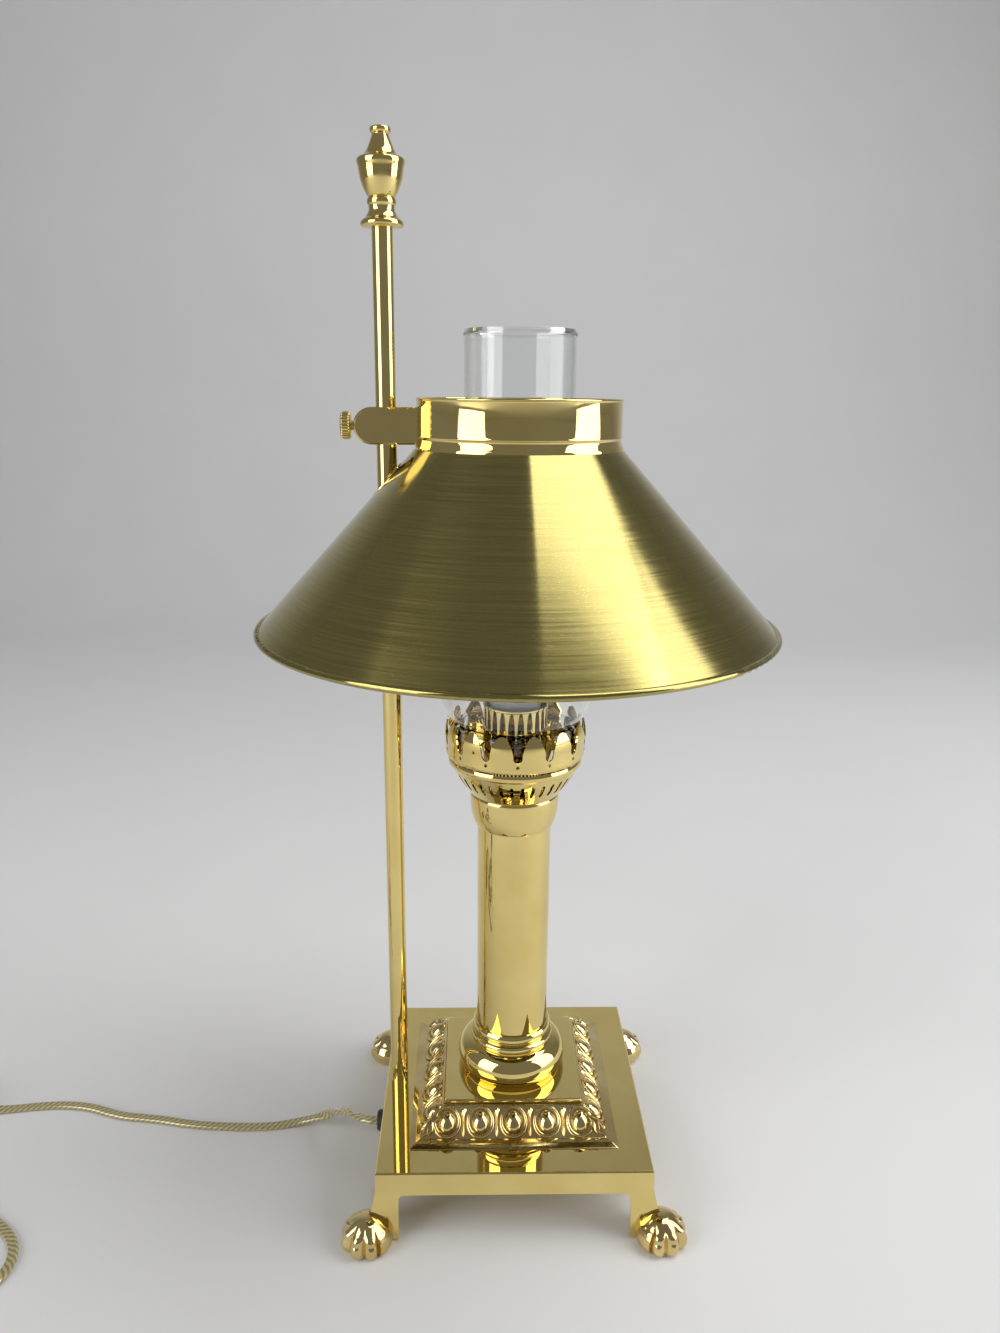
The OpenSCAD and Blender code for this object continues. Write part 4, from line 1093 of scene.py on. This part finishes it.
@dataclass
class Cord:
    """Flat twin cord with its switch, coil and plug. Sizes in millimetres."""

    shop: Workshop
    width: float = 5.3
    thick: float = 2.7
    step: float = 1.6
    lead: tuple[tuple[float, float, float], ...] = (
        (-73.2, -23.7, 31.5), (-76, -23.7, 31.5), (-80, -22.4, 31.2), (-84.5, -18.6, 30), (-88.6, -13, 27.6),
        (-92.6, -7.2, 24), (-97, -1.6, 19.4), (-101.8, 3.2, 14.4), (-107.4, 7, 9.6), (-113.4, 9.4, 5.8),
        (-119.8, 10.4, 3.3), (-126.6, 10, 2), (-134, 8.8, 1.5), (-142, 7.9, 1.4), (-151, 7.7, 1.4), (-161, 8, 1.4),
        (-171, 8.7, 1.4), (-180, 9.6, 1.4), (-190, 11.3, 1.4), (-202, 13.9, 1.4), (-214, 15.8, 1.4), (-225, 17.4, 1.4),
        (-235, 20.4, 1.4), (-244, 23.8, 1.4), (-254, 26.3, 1.4), (-266, 27.3, 1.4), (-278, 26.6, 1.4), (-290, 25, 1.4),
        (-300, 23.5, 1.9), (-308, 22.4, 4), (-315, 22, 6), (-321, 22, 6))
    loop: tuple[tuple[float, float, float], ...] = (
        (-373, 22, 6), (-379, 22, 6), (-385.4, 20.8, 5), (-391.5, 17, 3.6), (-396, 11, 2.4), (-398, 3, 1.8),
        (-397, -5, 1.5), (-393, -12, 1.4), (-386.6, -17.4, 1.4), (-378, -20.4, 1.4), (-366, -21, 1.4), (-350, -21, 1.4),
        (-335, -21, 1.4), (-320, -21.2, 1.4), (-308, -22.6, 1.4), (-298, -26.4, 1.4), (-289.6, -33, 1.4),
        (-283, -41.4, 1.4), (-276.6, -50, 1.4), (-269, -57.4, 1.4), (-260.4, -63.4, 1.4), (-253, -70.4, 1.4),
        (-248.4, -78.6, 1.4), (-247, -87, 1.4), (-249, -95.4, 1.4), (-254.4, -102.6, 1.5), (-262, -107.4, 1.7),
        (-271, -109.6, 1.9), (-282, -110, 2.1), (-300, -110, 2.1), (-320, -110, 2.1), (-332, -110, 2.1))
    tail: tuple[tuple[float, float, float], ...] = (
        (-332, -110, 5.4), (-338, -110, 5.4), (-346, -110.6, 5.6), (-354, -112, 6), (-361, -113.4, 6.3),
        (-367, -114, 6.5), (-373, -114, 6.5))
    coil_in: float = 21.0
    coil_step: float = 6.0
    coil_layer: float = 3.3
    coil_low: float = 2.1
    turns: int = 3

    def coil(self) -> list[tuple[float, float, float]]:
        """Points of the coil: a spiral in, a step up, and a spiral out on top."""
        mid_y, points = -110 + self.coil_in + 3 * self.coil_step, []
        for k in range(1, 2 * self.turns * 36):
            t = k / 36
            r = self.coil_in + self.coil_step * abs(t - self.turns)
            a = math.radians(-90 - 360 * t)
            rise = min(max((t - self.turns + 0.25) / 0.5, 0), 1)
            points.append((-332 + r * math.cos(a), mid_y + r * math.sin(a),
                           self.coil_low + self.coil_layer * rise * rise * (3 - 2 * rise)))
        return points

    def stretch(self, name: str, points: Sequence[Sequence[float]], start: float) -> tuple[bpy.types.Object, list[Vector]]:
        """One stretch of the twin cord.

        Args:
            name: The piece's name.
            points: The route's points.
            start: Distance from the exit to the stretch, in millimetres, for the cord's twist.

        Returns:
            The stretch and its centreline in metres.
        """
        dense = [Vector(p) for p in curve_through(points, 5)]
        line, ahead = [dense[0]], 0.0
        for a, b in zip(dense, dense[1:]):
            gap = (b - a).length
            while gap > 1e-9 and ahead + gap >= self.step:
                a = a.lerp(b, (self.step - ahead) / gap)
                line.append(a)
                gap, ahead = (b - a).length, 0.0
            ahead += gap
        if (line[-1] - dense[-1]).length > 0.2:
            line.append(dense[-1])
        lobe, apart = self.thick / 2, self.width / 2 - self.thick / 2
        half = [(apart + lobe * math.cos(math.radians(a)), lobe * math.sin(math.radians(a)))
                for a in (-120, -90, -60, -30, 0, 30, 60, 90, 120)]
        section = half + [(-x, -y) for x, y in half]
        rings, far = [], start
        for i, p in enumerate(line):
            t = (line[min(i + 1, len(line) - 1)] - line[max(i - 1, 0)]).normalized()
            far += (p - line[i - 1]).length if i else 0
            side = Vector((t.y, -t.x, 0)).normalized()
            up = t.cross(side)
            twist = 2 * math.pi * min(max((far - 14) / 46, 0), 1)
            c, s = math.cos(twist), math.sin(twist)
            side, up = side * c + up * s, up * c - side * s
            rings.append([(p + side * x + up * y) * MM for x, y in section])
        return lofted(name, rings, uv_step=self.step * MM), [p * MM for p in line]

    def pieces(self, rows: Sequence[tuple[str, str, str, str, float]]) -> list[bpy.types.Object]:
        """Softened copies of the hard pieces on a cord.

        Args:
            rows: Node, name, finish, body and edge width of each.

        Returns:
            The pieces.
        """
        return [self.shop.dress(softened(node, name, width), finish, body, (node,))
                for node, name, finish, body, width in rows]

    def build(self) -> None:
        """Builds the cord to the switch and the cord from it, with what is on each."""
        feed, feed_line = self.stretch("feed_cord", self.lead, 0.0)
        self.shop.dress(feed, "gold_cord", "lamp", ("cord_lead",))
        middle = [(-337.3, -110, self.coil_low)] + self.coil() + [(-326.7, -110, self.coil_low + self.coil_layer)]
        lead_in, lead_in_line = self.stretch("mains_cord", [*self.loop, *middle, *self.tail], 400.0)
        self.shop.dress(lead_in, "gold_cord", "lamp", ("cord_loop", "cord_coil", "cord_tail"))
        switch = self.pieces((("switch_lower", "switch_half_low", "brown_plastic", "lamp", 0.5),
                              ("switch_upper", "switch_half_top", "brown_plastic", "lamp", 0.5),
                              ("switch_wheel", "switch_disc", "cream_plastic", "switch_wheel", 0.25)))
        plug = self.pieces((("cord_tie", "coil_tie", "dark_plastic", "lamp", 0.15),
                            ("plug_body", "plug_case", "brown_plastic", "lamp", 0.7),
                            ("plug_blade_left", "blade_left", "plain_brass", "lamp", 0.2),
                            ("plug_blade_right", "blade_right", "plain_brass", "lamp", 0.2)))


# The studio


@dataclass(frozen=True)
class Studio:
    """Camera, floor and light. Sizes in metres."""

    focal_px: float = 1001.0
    long_px: float = 1333.0
    eye: tuple[float, float, float] = (-0.0197, -0.4841, 0.4141)
    pitch: float = 15.39
    yaw: float = 1.37
    roll: float = -0.50
    room: Colour = (0.20, 0.20, 0.20)

    def camera(self) -> None:
        """Puts the camera where the photograph was taken from."""
        p, y, r = (math.radians(v) for v in (self.pitch, self.yaw, self.roll))
        ahead = Vector((math.sin(y) * math.cos(p), math.cos(y) * math.cos(p), -math.sin(p)))
        right = Vector((math.cos(y), -math.sin(y), 0))
        up = right.cross(ahead)
        right = math.cos(r) * right - math.sin(r) * up
        up = right.cross(ahead)
        data = bpy.data.cameras.new("camera")
        data.sensor_width, data.lens = 36.0, 36.0 * self.focal_px / self.long_px
        data.clip_start, data.clip_end = 0.01, 50
        cam = bpy.data.objects.new("camera", data)
        cam.matrix_world = Matrix.Translation(self.eye) @ Matrix((right, up, -ahead)).transposed().to_4x4()
        bpy.context.scene.collection.objects.link(cam)
        bpy.context.scene.camera = cam

    def floor(self) -> None:
        """Pale board that sweeps up behind the lamp."""
        side = [(-3.0, 0.0), (0.4, 0.0), (1.2, 0.0)] \
            + [(1.2 + 0.8 * math.sin(math.radians(a)), 0.8 - 0.8 * math.cos(math.radians(a))) for a in range(6, 91, 6)] \
            + [(2.0, 3.0)]
        bm = bmesh.new()
        rows = [[bm.verts.new((x, y, z)) for x in (-3.5, -1.2, 0.0, 1.2, 3.5)] for y, z in side]
        for a, b in zip(rows, rows[1:]):
            for j in range(4):
                bm.faces.new((a[j], a[j + 1], b[j + 1], b[j]))
        board = finished("studio_floor", bm)
        board.data.materials.append(Backdrop().make())

    def lamp(self, name: str, at: Sequence[float], size: Point, watts: float, colour: Colour,
             target: Sequence[float] = (0, 0, 0.25)) -> None:
        """One soft panel.

        Args:
            name: The panel's name.
            at: Its middle.
            size: Its width and height.
            watts: Its power.
            colour: Its colour.
            target: The point that it faces, which is the lamp's middle unless given.
        """
        data = bpy.data.lights.new(name, "AREA")
        data.shape, data.size, data.size_y = "RECTANGLE", size[0], size[1]
        data.energy, data.color = watts, colour
        light = bpy.data.objects.new(name, data)
        light.location = at
        light.visible_camera = False
        aim = (Vector(target) - Vector(at)).normalized()
        light.rotation_mode = "QUATERNION"
        light.rotation_quaternion = aim.to_track_quat("-Z", "Y")
        bpy.context.scene.collection.objects.link(light)

    def sky(self) -> None:
        """Even grey room round the lamp."""
        world = bpy.data.worlds.new("room")
        bpy.context.scene.world = world
        world.use_nodes = True
        background = world.node_tree.nodes["Background"]
        background.inputs["Color"].default_value = (*self.room, 1)
        background.inputs["Strength"].default_value = 1.0

    def build(self) -> None:
        """Builds the whole studio but the camera."""
        self.floor()
        self.sky()
        self.lamp("softbox_left", (-1.3, -0.9, 0.8), (1.0, 1.6), 15, (1.0, 1.0, 1.0))
        self.lamp("softbox_right", (1.4, -0.3, 0.8), (1.0, 1.6), 15, (1.0, 1.0, 1.0))
        self.lamp("softbox_top", (0.7, 0.1, 1.9), (1.2, 1.2), 14, (1.0, 1.0, 1.0))
        bpy.context.scene.view_settings.view_transform = "Standard"


def main() -> None:
    """Builds the studio's camera, the cord, the lamp and the rest, in that order."""
    logging.basicConfig(level=logging.INFO, format="%(message)s")
    studio = Studio()
    studio.camera()
    shop = Workshop()
    Cord(shop).build()
    Base(shop).build()
    Column(shop).build()
    Gallery(shop).build()
    Light(shop).build()
    Rod(shop).build()
    Shade(shop).build()
    shop.dress_rest()
    studio.build()


if __name__ == "__main__":
    main()
